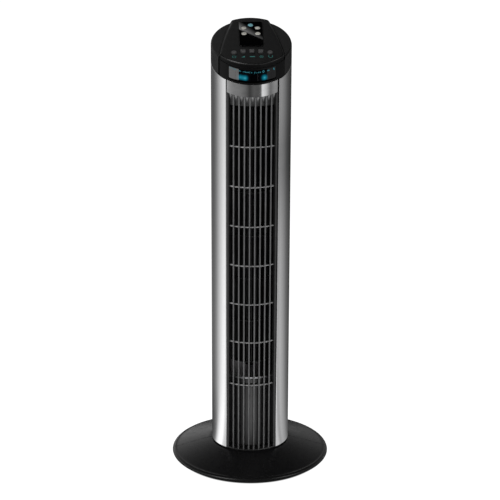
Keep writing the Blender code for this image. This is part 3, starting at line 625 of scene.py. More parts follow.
for k in range(8):
    parts.append(blade((k - 3.5) * RIB_PITCH, 1.28, Z_BOTTOM + 0.6))
fins_v, fins_f = merge(*parts)
taper = lambda z: max(0.0, min(1.0, (z - 50.0) / 590.0))
fins_v = [(x * (0.967 + 0.018 * taper(z)) - 0.28 + 0.68 * taper(z), y, z) for x, y, z in fins_v]
ob = put("front_grille_fins", (fins_v, fins_f), GRILLE_M, "tower", smooth=45)
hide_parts("front_grille")
parts = []
top_z = lambda y: H_BADGE + 0.1 + SLOPE * y
for s in (-1, 1):
    # edge rail: the outermost bar and the strip that carries it, beside the cover
    pts = [at(s * 39.35, R_GR - 0.5), at(s * 39.1, R_GR - 0.15), at(s * 37.6, R_GR), at(s * 36.3, R_GR - 0.15), at(s * 35.9, R_GR - 0.6), at(s * 36.3, 62.0), at(s * 37.0, 57.7), at(s * 39.35, 57.7)]
    parts.append(stack([[(x, y, Z_BOTTOM + 0.5) for x, y in pts], [(x, y, top_z(y)) for x, y in pts]]))
    inner = [at(s * 39.35, 64.2), at(s * 37.0, 64.2), at(s * 37.0, 57.7), at(s * 39.35, 57.7)]
    parts.append(stack([[(x, y, 640.0) for x, y in inner], [(x, y, H_LOW - 0.3 + SLOPE * y) for x, y in inner]]))
ob = put("front_grille_rails", merge(*parts), RAIL_M, "tower", smooth=45)
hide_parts("front_grille")
# the band at the foot of the grille is near-black: painted shade where the grille meets the base
ob = put("front_grille_lower_band", curved(spread(-38.4, 38.4, 40), 34.6, 38.6, 61.0, 59.4), JOINT_SHADE_M, "tower", bevel=0.4)
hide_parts("front_grille")
parts = []
for z in RUNG_Z:
    parts.append(revolve([(61.2, z - 0.5), (61.25, z + 0.4), (60.7, z + 0.9), (58.7, z + 1.0), (58.7, z - 0.95), (60.7, z - 0.9)], 48, -38.4, 38.4))
ob = put("front_grille_rungs", merge(*parts), RUNG_M, "tower", smooth=45)
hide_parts("front_grille")
# scoop between the plate's lower edge and the top of the air outlet
prof = []
n_s = 14
closure = []
angs = spread(-38.4, 38.4, 48)
loops_v, loops_f = [], []
for a in angs:
    y_front = at(a, R)[1]
    z_hi = H_BADGE + 0.6 + SLOPE * y_front
    ring = []
    for i in range(n_s + 1):
        t = i / n_s
        r = 65.2 - 5.6 * (1 - (1 - t) ** 2.0)
        ring.append((*at(a, r), z_hi + (639.8 - z_hi) * t))
    ring.append((*at(a, 58.2), 639.8))
    ring.append((*at(a, 58.2), z_hi))
    loops_v.append(ring)
v, f = stack([[p for p in ring] for ring in loops_v])
ob = put("outlet_top_scoop", (v, f), CLOSURE_M, "tower", smooth=50)
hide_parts("front_grille")

# a wedge in each slot under the plate: a painted lit patch between the fins' shadows, its colour fading from light at
# the top to dark at the tip
parts = []
for k in range(9):
    c = (k - 4) * RIB_PITCH
    half_w = 2.35 if 0 < k < 8 else 1.7
    if k in (0, 8):
        c += 0.5 if k == 0 else -0.5
    loops = []
    for t in (0.0, 0.12, 0.3, 0.5, 0.7, 0.85, 1.0):
        w = half_w * (1 - t) ** 1.1 + 0.10
        rr = 65.3 - 4.6 * t
        z = H_BADGE + 0.9 - 13.0 * t
        ring = []
        for px, pr in ((c - w, rr - 0.25), (c - w * 0.5, rr), (c + w * 0.5, rr), (c + w, rr - 0.25), (c + w * 0.8, rr - 2.4), (c - w * 0.8, rr - 2.4)):
            y = -sqrt(pr * pr - px * px)
            ring.append((px, y, z + SLOPE * -sqrt(65.3 ** 2 - c * c)))
        loops.append(ring)
    parts.append(stack(loops))
ob = put("outlet_top_light_wedges", merge(*parts), LIT_WEDGE_M, "tower", smooth=35)
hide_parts("front_grille")

# smooth shroud in front of the motor bay
shape = curved(spread(-74.0, 74.0, 72), 38.0, 161.8, 57.0, 55.2, rows=2)
ob = put("lower_shroud_skin", shape, SHROUD_M, "tower", bevel=0.5)
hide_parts("lower_shroud")

# ======================================================================================
# rear grille
# ======================================================================================
R_RG = R - 0.25
half = 180.0 - A_REAR - 0.35
bodyshape = curved([180 + q for q in spread(-half, half, 96)], lambda q: Z_BOTTOM - SLOPE * at(q, R_RG)[1], H_LOW - 0.2, R_RG, R_RG - 2.2, slope=SLOPE, rows=10)
ob = put("rear_grille_shell", bodyshape, REAR_M, "tower", smooth=38)
cutters = []
z = 62.0
rows_z = []
for k in range(6):
    rows_z.append((z, z + 86.0))
    z += 94.0
side_span = (-55.0, -6.6, 6.6, 55.0)
for z0, z1 in rows_z:
    for a0, a1 in ((-55.0, -5.2), (5.2, 55.0)):
        an, lo, hi = rounded_span(180 + a0, 180 + a1, z0, z1, 2.4, n=16, m=4)
        cutters.append(curved(an, lo, hi, 72.0, 58.0))
an, lo, hi = rounded_span(180 - 24.6, 180 + 24.6, 660.0, 690.0, 5.0, n=12, m=5)
cutters.append(curved(an, lo, hi, 72.0, 58.0))
carve(ob, (merge(*cutters), "DIFFERENCE"))
add_bevel(ob, 0.5, 2, 50)
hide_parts("rear_grille")
slats = []
for a0, a1 in ((-55.0, -5.2), (5.2, 55.0)):
    n = 13
    for i in range(1, n):
        a = 180 + a0 + (a1 - a0) * i / n
        c = radians(1.0)
        da = 0.9
        pts = [at(a - da, R_RG - 0.4), at(a, R_RG - 0.1), at(a + da, R_RG - 0.4), at(a + da * 1.7, 60.6), at(a + da * 0.3, 60.6)]
        for z0, z1 in rows_z:
            slats.append(prism(pts, z0 - 1.0, z1 + 1.0))
ob = put("rear_grille_slats", merge(*slats), REAR_M, "tower", smooth=50)
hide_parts("rear_grille")
# cup of the hand grip
lip = [at(180 - a, 63.2) for a in spread(-25.0, 25.0, 16)]
ob = put("grip_cup_shell", prism(lip + [(22.0, 41.0), (-22.0, 41.0)], 656.0, 694.0), REAR_M, "tower")
inner = [(x * 0.925, y) for x, y in [at(180 - a, 70.0) for a in spread(-22.5, 22.5, 16)]] + [(20.0, 43.2), (-20.0, 43.2)]
carve(ob, (prism(inner, 658.6, 691.4), "DIFFERENCE"))
add_bevel(ob, 0.8, 3, 50)
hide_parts("grip_cup")

# ======================================================================================
# head: shoulders and wall
# ======================================================================================
SH = [(40.0, 731.2), (63.7, 731.2), (64.7, 731.05), (65.5, 730.65), (66.0, 729.95), (66.25, 728.9), (66.25, 702.6), (66.1, 702.1), (65.7, 701.9), (63.8, 701.9), (63.8, 726.6), (62.2, 728.4), (40.0, 728.4)]


def curve_through(points, per=6):
    out = []
    P = [Vector((x, y)) for x, y in points]
    for i in range(len(P) - 1):
        p0, p1, p2, p3 = P[max(i - 1, 0)], P[i], P[i + 1], P[min(i + 2, len(P) - 1)]
        for k in range(per):
            t = k / per
            q = 0.5 * ((2 * p1) + (p2 - p0) * t + (2 * p0 - 5 * p1 + 4 * p2 - p3) * t * t + (3 * p1 - p0 - 3 * p2 + p3) * t ** 3)
            out.append((q.x, q.y))
    out.append((P[-1].x, P[-1].y))
    return out


spine = curve_through(SPINE, 3)


def flank(p, k=1.0):
    """A point of the panel's upper edge moved out by the part k of the flank's spread, kept inside the head's wall."""
    x, y = p
    for (y0, d0), (y1, d1) in zip(FLANK, FLANK[1:]):
        if y <= y0:
            d = d0 + (d1 - d0) * (y0 - y) / (y0 - y1)
    x += d * k
    r = sqrt(x * x + y * y)
    if r > 65.9:
        x = sqrt(65.9 ** 2 - y * y)
    return x, y


gap = [(flank(p)[0] + 0.3, p[1]) for p in spine]
head = put("head_shell_skin", revolve(SH, 180, slope=SLOPE), SATIN, "tower", smooth=30)
A_SEAM_L = A_PANEL + 3.9
opening = [(gap[0][0], 90.0)] + gap[:-1] + [at(A_PANEL + 0.6, 66.6), at(A_PANEL + 0.6, 160.0)]
opening += [at(-A_SEAM_L, 160.0), at(-A_SEAM_L, 66.6)] + [(-x, y) for x, y in reversed(gap[:-1])] + [(-gap[0][0], 90.0)]
wedge = [at(A_PANEL + 0.6, 45.0), at(A_PANEL + 0.6, 160.0), at(-A_SEAM_L, 160.0), at(-A_SEAM_L, 45.0)]
sh = lambda loop, h0, h1: stack([[(x, y, h0 + SLOPE * y) for x, y in loop], [(x, y, h1 + SLOPE * y) for x, y in loop]])
carve(head, (sh(opening, 726.9, 760.0), "DIFFERENCE"), (sh(wedge, 690.0, 760.0), "DIFFERENCE"), smooth=30)
add_bevel(head, 0.55, 3, 45)
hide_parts("head_shell")

# ======================================================================================
# control panel: slab, rim and front wall
# ======================================================================================
CH = 2.1          # chamfer along the raised edges
rim_prof = [(58.0, 735.0), (62.6, 735.0), (63.7, 734.8), (64.5, 734.3), (64.95, 733.6), (65.1, 732.6), (65.1, 731.2), (65.1, 730.2),
            (65.15, 728.9), (65.3, 728.35), (65.65, 728.05), (66.25, 727.9), (66.25, 702.6), (66.1, 702.1), (65.7, 701.9), (63.75, 701.9), (63.75, 726.6), (58.0, 726.9)]
wall_piece = revolve(rim_prof, 120, -A_PANEL, A_PANEL, slope=SLOPE)
front = [at(a, 63.0) for a in spread(A_PANEL - 1.0, -A_PANEL + 1.0, 60)]


def panel_outline(k):
    """Outline of the raised panel: k = 0 at its upper edge, 1 where the flank meets the shoulder."""
    half = degrees(atan2(flank(spine[2], k)[0], spine[2][1])) - 0.9
    back = [at(180 + a, 66.0 - 0.0 * k) for a in spread(half, -half, 24)]
    side = [flank(p, k) for p in spine[2:-1]]
    return side + front + [(-x, y) for x, y in reversed(side)] + back




def inset_loop(loop, d):
    """Moves a counter-clockwise or clockwise outline inwards by d."""
    n = len(loop)
    area = sum(loop[i][0] * loop[(i + 1) % n][1] - loop[(i + 1) % n][0] * loop[i][1] for i in range(n))
    sgn = 1 if area > 0 else -1
    out = []
    for i in range(n):
        a, b, c = Vector(loop[i - 1]), Vector(loop[i]), Vector(loop[(i + 1) % n])
        e1, e2 = (b - a).normalized(), (c - b).normalized()
        n1, n2 = Vector((-e1.y, e1.x)) * sgn, Vector((-e2.y, e2.x)) * sgn
        m = n1 + n2
        m = m / max(0.35, m.length_squared) * 2
        out.append((b.x + m.x * d, b.y + m.y * d))
    return out


levels = [(1.0, 0.0, 727.3), (1.0, 0.0, 730.9), (0.93, 0.0, 731.5), (0.16, 0.0, 734.0), (0.03, 0.25, 734.55), (0.0, 0.8, 734.85), (0.0, 1.8, 735.0)]
slab = stack([[(x, y, h + SLOPE * y) for x, y in (inset_loop(panel_outline(k), d) if d else panel_outline(k))] for k, d, h in levels])
panel = put("control_panel_skin", slab, SPINE_M, "tower", smooth=30)
pocket = stack([on_panel([(x, y, -5.4) for x, y in rounded(REMOTE_W + 1.2, REMOTE_L + 1.2, (4.2, 4.2, 6.6, 6.6), 8, 0, REMOTE_V)]),
                on_panel([(x, y, 5.0) for x, y in rounded(REMOTE_W + 1.2, REMOTE_L + 1.2, (4.2, 4.2, 6.6, 6.6), 8, 0, REMOTE_V)])])


def key_loop(k, grow=0.0):
    """Outline of a control key about its centre: the outer two are round, the inner three taper to the front."""
    if k in (0, 4):
        n = 32
        return [((4.75 + grow) * cos(2 * pi * i / n), (5.7 + grow) * sin(2 * pi * i / n)) for i in range(n)]
    wb, wf, l, r = (5.0, 3.7, 5.7, 2.0)
    lean = {1: 0.7, 2: 0.0, 3: -0.7}[k]
    pts = []
    corners = [(wb, l), (-wb, l), (-wf + lean, -l), (wf + lean, -l)]
    n = 7
    for i, (cx, cy) in enumerate(corners):
        a, b, c = Vector(corners[i - 1]), Vector((cx, cy)), Vector(corners[(i + 1) % 4])
        p, q = b + (a - b).normalized() * r, b + (c - b).normalized() * r
        for j in range(n + 1):
            t = j / n
            s = (1 - t) ** 2 * p + 2 * t * (1 - t) * b + t * t * q
            pts.append((s.x, s.y))
    return inset_loop(pts, -grow) if grow else pts


key_cutters = []
for k, (x, y) in enumerate(zip(KEY_X, KEY_Y)):
    loop = [(x + px, y / CT + py) for px, py in key_loop(k, 0.3)]
    key_cutters.append(stack([on_panel([(px, py, -12.0) for px, py in loop]), on_panel([(px, py, 6.0) for px, py in loop])]))
an, lo, hi = rounded_span(-A_WINDOW, A_WINDOW, 706.8, 727.5, 2.2, n=60, m=6)
window_cut = curved(an, lo, hi, 72.0, 60.0, slope=SLOPE)
carve(panel, (wall_piece, "UNION"), (pocket, "DIFFERENCE"), (merge(*key_cutters), "DIFFERENCE"), (window_cut, "DIFFERENCE"), smooth=28)
add_bevel(panel, 0.28, 2, 50)
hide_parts("control_panel")

an, lo, hi = rounded_span(-A_WINDOW + 0.25, A_WINDOW - 0.25, 707.0, 727.3, 2.0, n=60, m=6)
ob = put("display_window_glass", curved(an, lo, hi, R - 0.35, R - 2.2, slope=SLOPE), WINDOW_M, "tower", bevel=0.2, seg=2)
window = ob
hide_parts("display_window")
# recessed strip in the wide joint at the left end of the front wall, near-black and almost shineless to paint the shade
# deep in the joint, and the polished bead along the front edge
ob = put("panel_joint_shade_strip", curved(spread(-A_SEAM_L - 1.0, -A_PANEL + 0.2, 8), 702.6, 730.4, 64.9, 63.9, slope=SLOPE), JOINT_SHADE_M, "tower", smooth=30)
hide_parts("control_panel")
bead_prof = [(62.7, 734.8), (62.9, 735.2), (63.35, 735.42), (63.9, 735.4), (64.5, 735.12), (65.0, 734.65), (65.25, 734.1), (65.1, 733.7), (64.2, 733.7)]
bead = put("panel_rim_bead", revolve(bead_prof, 120, -A_PANEL + 0.6, A_PANEL - 0.6, slope=SLOPE), RIM_M, "tower", smooth=50)
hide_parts("control_panel")

# ======================================================================================
# control keys
# ======================================================================================
keys = []
for k, (x, y) in enumerate(zip(KEY_X, KEY_Y)):
    loops = []
    base_loop = key_loop(k)
    cy = y / CT
    foot = [(px * 1.22, py * 1.2) for px, py in base_loop]
    for loop, n in ((foot, -8.9), (foot, -7.8)):
        loops.append(on_panel([(x + px, cy + py, n) for px, py in loop]))
    for d, n in ((0.0, -7.6), (0.0, 0.35), (0.15, 0.75), (0.5, 1.1), (1.1, 1.3)):
        loops.append(on_panel([(x + px, cy + py, n) for px, py in (inset_loop(base_loop, d) if d else base_loop)]))
    # dished top
    for s, n in ((0.55, 1.2), (0.25, 1.1)):
        loops.append(on_panel([(x + px * s, cy + py * s, n) for px, py in base_loop]))
    ob = put("control_key_cap_%d" % (k + 1), stack(loops), KEY_M, "key_%d" % (k + 1), smooth=50)
    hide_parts("control_key_%d" % (k + 1))
    keys.append(ob)

# ======================================================================================
# remote control
# ======================================================================================
corner = (3.6, 3.6, 6.0, 6.0)


def remote_loop(d):
    return rounded(REMOTE_W - 2 * d, REMOTE_L - 2 * d, tuple(max(0.6, c - d) for c in corner), 10, 0, REMOTE_V)


loops = [on_panel([(x, y, n) for x, y in remote_loop(d)]) for d, n in ((1.6, -5.1), (0.7, -4.8), (0.15, -4.2), (0.0, -3.5), (0.0, -0.35))]
case = put("remote_case_shell", stack(loops), GLOSS_M, "remote", smooth=45)
well = rounded(35.0, 41.0, (3,) * 4, 6, 0, 32.3)
slot_cut = rounded(24.6, 24.0, (0.6,) * 4, 3, 0, REMOTE_V - REMOTE_L / 2 + 11.0)
carve(case, (stack([on_panel([(x, y, -3.4) for x, y in well]), on_panel([(x, y, 2.0) for x, y in well])]), "DIFFERENCE"),
      (stack([on_panel([(x, y, -3.6) for x, y in slot_cut]), on_panel([(x, y, -1.4) for x, y in slot_cut])]), "DIFFERENCE"))
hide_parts("remote_case")
loops = [on_panel([(x, y, n) for x, y in remote_loop(d)]) for d, n in ((0.0, -0.2), (0.0, 0.45), (0.1, 0.75), (0.35, 0.98), (0.75, 1.1))]
face = put("remote_face_skin", stack(loops), GLOSS_M, "remote", smooth=40)
holes = []
for _, x, v_ in REMOTE_KEYS:
    loop = circle(4.55, 48, x, v_)
    holes.append(stack([on_panel([(px, py, -3.0) for px, py in loop]), on_panel([(px, py, 4.0) for px, py in loop])]))
carve(face, (merge(*holes), "DIFFERENCE"), smooth=30)
add_bevel(face, 0.15, 2, 60)
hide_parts("remote_face")
for name, x, v_ in REMOTE_KEYS:
    prof = [(0, -1.6), (5.9, -1.6), (5.9, -0.6), (4.25, -0.6), (4.25, 0.75), (4.1, 1.15), (3.7, 1.45), (2.9, 1.68), (1.6, 1.8), (0, 1.82)]
    v, f = turned(prof, 48, x, v_)
    ob = put("remote_button_%s_cap" % name, (on_panel(v), f), BLUEKEY_M if name == "power" else WHITEKEY_M, "remote_button_" + name,
             smooth=50)
    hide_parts("remote_key_" + name)

# ======================================================================================
# small signs: generic icons, drawn as thin raised ink
# ======================================================================================
def tube_shape(points, r, n=6, closed=False):
    """A thin bead of ink along 2-D points (u, v), slightly raised out of the surface."""
    v, f = [], []
    m = len(points)
    for i, (px, py) in enumerate(points):
        a = points[(i - 1) % m] if (closed or i) else points[i]
        b = points[(i + 1) % m] if (closed or i < m - 1) else points[i]
        dx, dy = b[0] - a[0], b[1] - a[1]
        l = sqrt(dx * dx + dy * dy) or 1.0
        nx, ny = -dy / l, dx / l
        for u, w in ((-1, 0), (-0.7, 0.5), (0.7, 0.5), (1, 0), (0, -0.4)):
            v.append((px + nx * r * u, py + ny * r * u, w * 0.12))
    for i in range(m if closed else m - 1):
        j = (i + 1) % m
        for k in range(5):
            l = (k + 1) % 5
            f.append((i * 5 + k, i * 5 + l, j * 5 + l, j * 5 + k))
    if not closed:
        f += [tuple(range(5)), tuple(range((m - 1) * 5, m * 5))[::-1]]
    return v, f


def blob(points, h=0.06):
    """A filled patch of ink from an outline."""
    v = [(x, y, -0.04) for x, y in points] + [(x, y, h) for x, y in points]
    n = len(points)
    f = [tuple(range(n))[::-1], tuple(range(n, 2 * n))] + [(i, (i + 1) % n, (i + 1) % n + n, i + n) for i in range(n)]
    return v, f


def ring_pts(r, a0=0, a1=360, n=28, cx=0.0, cy=0.0):
    return [(cx + r * cos(radians(a0 + (a1 - a0) * i / n)), cy + r * sin(radians(a0 + (a1 - a0) * i / n))) for i in range(n + 1)]


def place_on_panel(shape, u, v_, lift=0.0):
    v, f = shape
    return on_panel([(u + x, v_ + y, n + lift) for x, y, n in v]), f


def place_on_wall(shape, a, h, r):
    """Maps (across, up, out) to the front wall at angle a and head height h."""
    v, f = shape
    out = []
    for x, y, n in v:
        q = a + degrees(x / R)
        px, py = at(q, r + n)
        yo = at(q, r)[1]
        out.append((px, py, h + y + SLOPE * yo))
    return out, f


iv = -45.4 / CT
ir = 0.34
icons = []
# power ring, speed ramp, mode bar, timer, swing
icons.append(place_on_panel(tube_shape(ring_pts(2.9, 115, 425), ir), KEY_X[0], iv + 0.6))
icons.append(place_on_panel(blob([(-0.25, 0.6), (0.25, 0.6), (0.25, 3.6), (-0.25, 3.6)]), KEY_X[0], iv + 0.6))
icons.append(place_on_panel(blob([(-2.9, -1.8), (2.9, -1.8), (2.9, 2.2)]), KEY_X[1] - 0.2, iv + 0.9))
icons.append(place_on_panel(blob(rounded(8.4, 1.9, (0.5,) * 4, 3)), KEY_X[2] + 0.3, iv + 1.0))
icons.append(place_on_panel(tube_shape(ring_pts(2.7, 0, 360), ir, closed=False), KEY_X[3] + 0.2, iv + 0.9))
icons.append(place_on_panel(tube_shape([(0, 1.8), (0, 0), (1.3, -0.8)], ir * 0.8), KEY_X[3] + 0.2, iv + 0.9))
icons.append(place_on_panel(tube_shape(ring_pts(3.1, 160, 380), ir), KEY_X[4] + 0.4, iv + 0.9))
icons.append(place_on_panel(blob([(-4.2, 1.4), (-1.9, 1.4), (-3.0, 3.4)]), KEY_X[4] + 0.4, iv + 0.9))
icons.append(place_on_panel(blob([(1.9, 1.4), (4.2, 1.4), (3.0, 3.4)]), KEY_X[4] + 0.4, iv + 0.9))
ob = put("panel_icons", merge(*icons), TEAL_M, "tower", smooth=50)

wi = []
RW = R - 0.33
hh = lambda z, a: z - SLOPE * at(a, RW)[1]


def wall(shape, a, z):
    wi.append(place_on_wall(shape, a, hh(z, a), RW))


drop = [(1.3 * sin(radians(t)) * (1 - 0.35 * (cos(radians(t)) > 0) * cos(radians(t))), -0.3 + 1.5 * cos(radians(t)) + (0.9 if abs(t) < 8 else 0)) for t in spread(-172, 172, 22)]
wall(tube_shape(ring_pts(1.3, 30, 330), 0.24), -32.6, 703.2)
wall(blob(rounded(2.4, 0.7, (0.3,) * 4, 2)), -29.3, 702.6)
wall(tube_shape([(-2.3, 0.4), (-1.1, 1.0), (0.2, 0.2), (1.4, 0.8), (2.4, 0.3)], 0.26), -25.8, 701.0)
wall(tube_shape([(-2.3, -0.8), (-1.1, -0.2), (0.2, -1.0), (1.4, -0.4), (2.4, -0.9)], 0.26), -25.8, 700.9)
wall(blob([(-2.6, -0.7), (2.4, -0.9), (0.6, 0.3), (-1.2, 1.1)]), -17.9, 698.8)
for i in range(4):
    wall(blob(rounded(0.7, 0.9 + 0.45 * i, (0.2,) * 4, 2)), -13.9 + 1.05 * i, 697.4 + 0.15 * i)
for i in range(3):
    wall(blob(rounded(1.5, 1.7, (0.5,) * 4, 3)), -9.6 + 1.75 * i, 697.0)
wall(tube_shape(ring_pts(1.1, 40, 320), 0.24), -3.9, 696.8)
wall(blob(rounded(1.2, 1.9, (0.4,) * 4, 2)), -1.4, 696.5)
wall(tube_shape([(-1.0, -1.8), (-1.0, 1.2), (0.8, 1.2), (0.8, -0.1), (-0.9, -0.1)], 0.26), 3.3, 696.4)
wall(blob(rounded(1.2, 1.6, (0.4,) * 4, 2)), 5.9, 696.2)
wall(blob(rounded(1.4, 1.9, (0.4,) * 4, 2)), 8.6, 696.8)
wall(blob(rounded(1.4, 1.9, (0.4,) * 4, 2)), 10.9, 696.9)
wall(tube_shape(ring_pts(1.35, 0, 360), 0.42), 15.2, 698.0)
for t in (0, 90, 180, 270):
    wall(blob([(1.9 * cos(radians(t + q)), 1.9 * sin(radians(t + q))) for q in (-18, 18)] + [(2.5 * cos(radians(t)), 2.5 * sin(radians(t)))]), 15.2, 698.0)
wall(blob([(-1.9, -1.0), (1.9, -1.0), (1.9, 0.2), (0.3, 1.4), (-0.7, 0.4), (-1.9, 1.2)]), 22.7, 699.0)
wall(blob([(-1.0, 2.1), (0.2, 1.9), (1.5, -1.8), (-0.4, -1.7), (-1.3, 0.2)]), 31.6, 700.6)
ob = put("window_icons", merge(*wi), ICON_M, "tower", smooth=50)

# lights of the display shining through the window
LED_M = Mat("led_glow", (0.0, 0.02, 0.025), 0.3)
uvn = LED_M.node("ShaderNodeVertexColor", layer_name="glow")
fall = LED_M.node("ShaderNodeValToRGB")
fall.color_ramp.elements[0].position, fall.color_ramp.elements[0].color = 0.0, (0.0, 0.0, 0.0, 1)
fall.color_ramp.elements[1].position, fall.color_ramp.elements[1].color = 1.0, (0.062, 0.33, 0.42, 1)
for pos, c in ((0.18, (0.0, 0.012, 0.02)), (0.42, (0.0, 0.09, 0.13)), (0.72, (0.008, 0.19, 0.26))):
    e = fall.color_ramp.elements.new(pos)
    e.color = (*c, 1)
LED_M.link(uvn.outputs["Color"], fall.inputs["Fac"])
LED_M.set("Emission Color", fall.outputs["Color"])
LED_M.b.inputs["Emission Strength"].default_value = 1.0
LED_M.b.inputs["Base Color"].default_value = (0.0018, 0.0018, 0.0026, 1)
LED_M.b.inputs["Roughness"].default_value = 0.05


def glow_patch(name, a0, a1, lamps):
    """A thin skin on the window's face whose vertex values hold the light that reaches it."""
    na, nh = 96, 40
    h0, h1 = 707.35, 719.6
    v, f = [], []
    val = []
    for s, r in ((0, R - 0.335), (1, R - 0.345)):
        for i in range(na + 1):
            a = a0 + (a1 - a0) * i / na
            for k in range(nh + 1):
                h = h0 + (h1 - h0) * k / nh
                x, y = at(a, r)
                z = h + SLOPE * at(a, R)[1]
                v.append((x, y, z))
                g = 0.0
                for ac, zc, rad, amp in lamps:
                    d = sqrt((radians(a - ac) * R) ** 2 + (z - zc) ** 2) / rad
                    g = max(g, 0.0) + amp * max(0.0, 1 - d) ** 1.25
                edge = min(1.0, (h - h0) / 0.8, (h1 - h) / 2.5, (a - a0) / 1.5, (a1 - a) / 1.5)
                val.append(min(1.0, g) * max(0.0, edge))
    n1 = (na + 1) * (nh + 1)
    idx = lambda s, i, k: s * n1 + i * (nh + 1) + k
    for i in range(na):
        for k in range(nh):
            f.append((idx(0, i, k), idx(0, i + 1, k), idx(0, i + 1, k + 1), idx(0, i, k + 1)))
            f.append((idx(1, i, k + 1), idx(1, i + 1, k + 1), idx(1, i + 1, k), idx(1, i, k)))
        f.append((idx(0, i + 1, 0), idx(0, i, 0), idx(1, i, 0), idx(1, i + 1, 0)))
        f.append((idx(0, i, nh), idx(0, i + 1, nh), idx(1, i + 1, nh), idx(1, i, nh)))
    for k in range(nh):
        f.append((idx(0, 0, k), idx(0, 0, k + 1), idx(1, 0, k + 1), idx(1, 0, k)))
        f.append((idx(0, na, k + 1), idx(0, na, k), idx(1, na, k), idx(1, na, k + 1)))
    me = bpy.data.meshes.new(name)
    me.from_pydata([tuple(c * MM for c in p) for p in v], [], f)
    me.shade_smooth()
    layer = me.color_attributes.new("glow", "FLOAT_COLOR", "POINT")
    for i, g in enumerate(val):
        layer.data[i].color = (g, g, g, 1.0)
    me.materials.append(LED_M.m)
    ob = bpy.data.objects.new(name, me)
    bpy.context.scene.collection.objects.link(ob)
    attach(ob, "tower")
    return ob


glow_l = glow_patch("window_glow_left", -25.0, -3.0, ((-17.4, 688.6, 7.2, 0.85), (-10.7, 687.4, 7.4, 1.0)))
glow_r = glow_patch("window_glow_right", 7.0, 27.0, ((17.0, 687.8, 7.8, 1.0),))

# ======================================================================================
# blower wheel
# ======================================================================================
seg = (IMP_Z1 - IMP_Z0) / 6
parts = []
for k in range(7):
    zc = IMP_Z0 + k * seg
    if k == 0:
        parts.append(turned([(0, zc - 6.0), (5.4, zc - 6.0), (6.2, zc - 5.4), (7.2, zc - 0.4), (8.5, zc), (IMP_R - 0.5, zc), (IMP_R, zc + 0.4), (IMP_R, zc + 1.6), (IMP_R - 0.4, zc + 2.0), (0, zc + 2.0)], 72, 0, IMP_Y))
    elif k == 6:
        parts.append(turned([(0, zc - 2.0), (IMP_R - 0.4, zc - 2.0), (IMP_R, zc - 1.6), (IMP_R, zc - 0.4), (IMP_R - 0.4, zc), (0, zc)], 72, 0, IMP_Y))
    else:
        parts.append(revolve([(29.0, zc - 0.6), (IMP_R - 0.3, zc - 0.8), (IMP_R, zc - 0.4), (IMP_R, zc + 0.4), (IMP_R - 0.3, zc + 0.8), (29.0, zc + 0.6)], 72, cy=IMP_Y))
for k in range(34):
    a = 360.0 * k / 34
    line = [at(a + da, r) for r, da in ((31.5, 7.5), (33.5, 5.3), (36.0, 3.2), (38.6, 1.4), (41.6, 0.0))]
    c, s = cos(radians(1.35)), sin(radians(1.35))
    backl = [(x * c - y * s, x * s + y * c) for x, y in reversed(line)]
    parts.append(prism([(x, y + IMP_Y) for x, y in line + backl], IMP_Z0 + 1.0, IMP_Z1 - 1.0))
ob = put("blower_wheel_fins", merge(*parts), WHEEL_M, "blower", smooth=45)
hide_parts("blower_wheel")

# ======================================================================================
# the CAD nodes that show as they are
# ======================================================================================
for nodes, m in (
    (("base_hub", "retaining_nut", "oscillation_motor", "motor_rotor", "top_pivot_pin"), STEEL_M),
    (tuple("base_screw_%d" % k for k in range(1, 5)) + tuple("rear_screw_%d" % k for k in range(1, 5)), STEEL_M),
    (("motor_plate", "motor_case", "motor_stator"), MOTOR_M),
    (("swivel_gear", "drive_pinion"), NYLON_M),
    (("cord_gland", "top_bush", "foot_1", "foot_2", "foot_3", "foot_4"), RUBBER_M),
    (("turntable", "swivel_bearing_ring", "scroll_wall", "air_tongue", "top_bearing_plate", "battery_tray"), SHADE_M),
    (("motor_capacitor",), CAP_M),
    (("wiring_loom",), WIRE_M),
    (("display_board", "control_board"), PCB),
):
    for node in nodes:
        dress(node, m)

# ======================================================================================
# floor, backdrop and lights
# ======================================================================================
scene = bpy.context.scene
scene.view_settings.view_transform = "Standard"
scene.view_settings.look = "None"


def stage_plane(name, size, z, mat):
    me = bpy.data.meshes.new(name)
    me.from_pydata([(-size, -size, z), (size, -size, z), (size, size, z), (-size, size, z)], [], [(0, 1, 2, 3)])
    me.materials.append(mat)
    ob = bpy.data.objects.new(name, me)
    scene.collection.objects.link(ob)
    return ob


floor_mat = bpy.data.materials.new("floor_pale")
floor_mat.use_nodes = True
nt = floor_mat.node_tree
nt.nodes.clear()
out = nt.nodes.new("ShaderNodeOutputMaterial")
addn = nt.nodes.new("ShaderNodeAddShader")
em = nt.nodes.new("ShaderNodeEmission")
em.inputs["Color"].default_value = (1, 1, 1, 1)
ftc = nt.nodes.new("ShaderNodeTexCoord")
fsx = nt.nodes.new("ShaderNodeSeparateXYZ")
nt.links.new(ftc.outputs["Object"], fsx.inputs[0])


def fm(op, a, b=None):
    n = nt.nodes.new("ShaderNodeMath")
    n.operation = op
    for i, v in enumerate((a, b)):
        if isinstance(v, (int, float)):
            n.inputs[i].default_value = v
        elif v is not None:
            nt.links.new(v, n.inputs[i])
    return n.outputs[0]


# the floor's glow fades out under the base's edge: a painted contact shadow, which also keeps the floor from lighting
# the base's underside
fr = fm("SQRT", fm("ADD", fm("POWER", fsx.outputs["X"], 2.0), fm("POWER", fsx.outputs["Y"], 2.0)))
fall = nt.nodes.new("ShaderNodeMapRange")
fall.interpolation_type = "SMOOTHSTEP"
for k, v in (("From Min", 0.1235), ("From Max", 0.1275), ("To Min", 0.0), ("To Max", 1.02)):
    fall.inputs[k].default_value = v
nt.links.new(fr, fall.inputs["Value"])
nt.links.new(fall.outputs["Result"], em.inputs["Strength"])
df = nt.nodes.new("ShaderNodeBsdfDiffuse")
df.inputs["Color"].default_value = (0.35, 0.35, 0.35, 1)
nt.links.new(em.outputs[0], addn.inputs[0])
nt.links.new(df.outputs[0], addn.inputs[1])
nt.links.new(addn.outputs[0], out.inputs[0])
floor = stage_plane("floor", 40.0, 0.0, floor_mat)
floor.visible_glossy = False

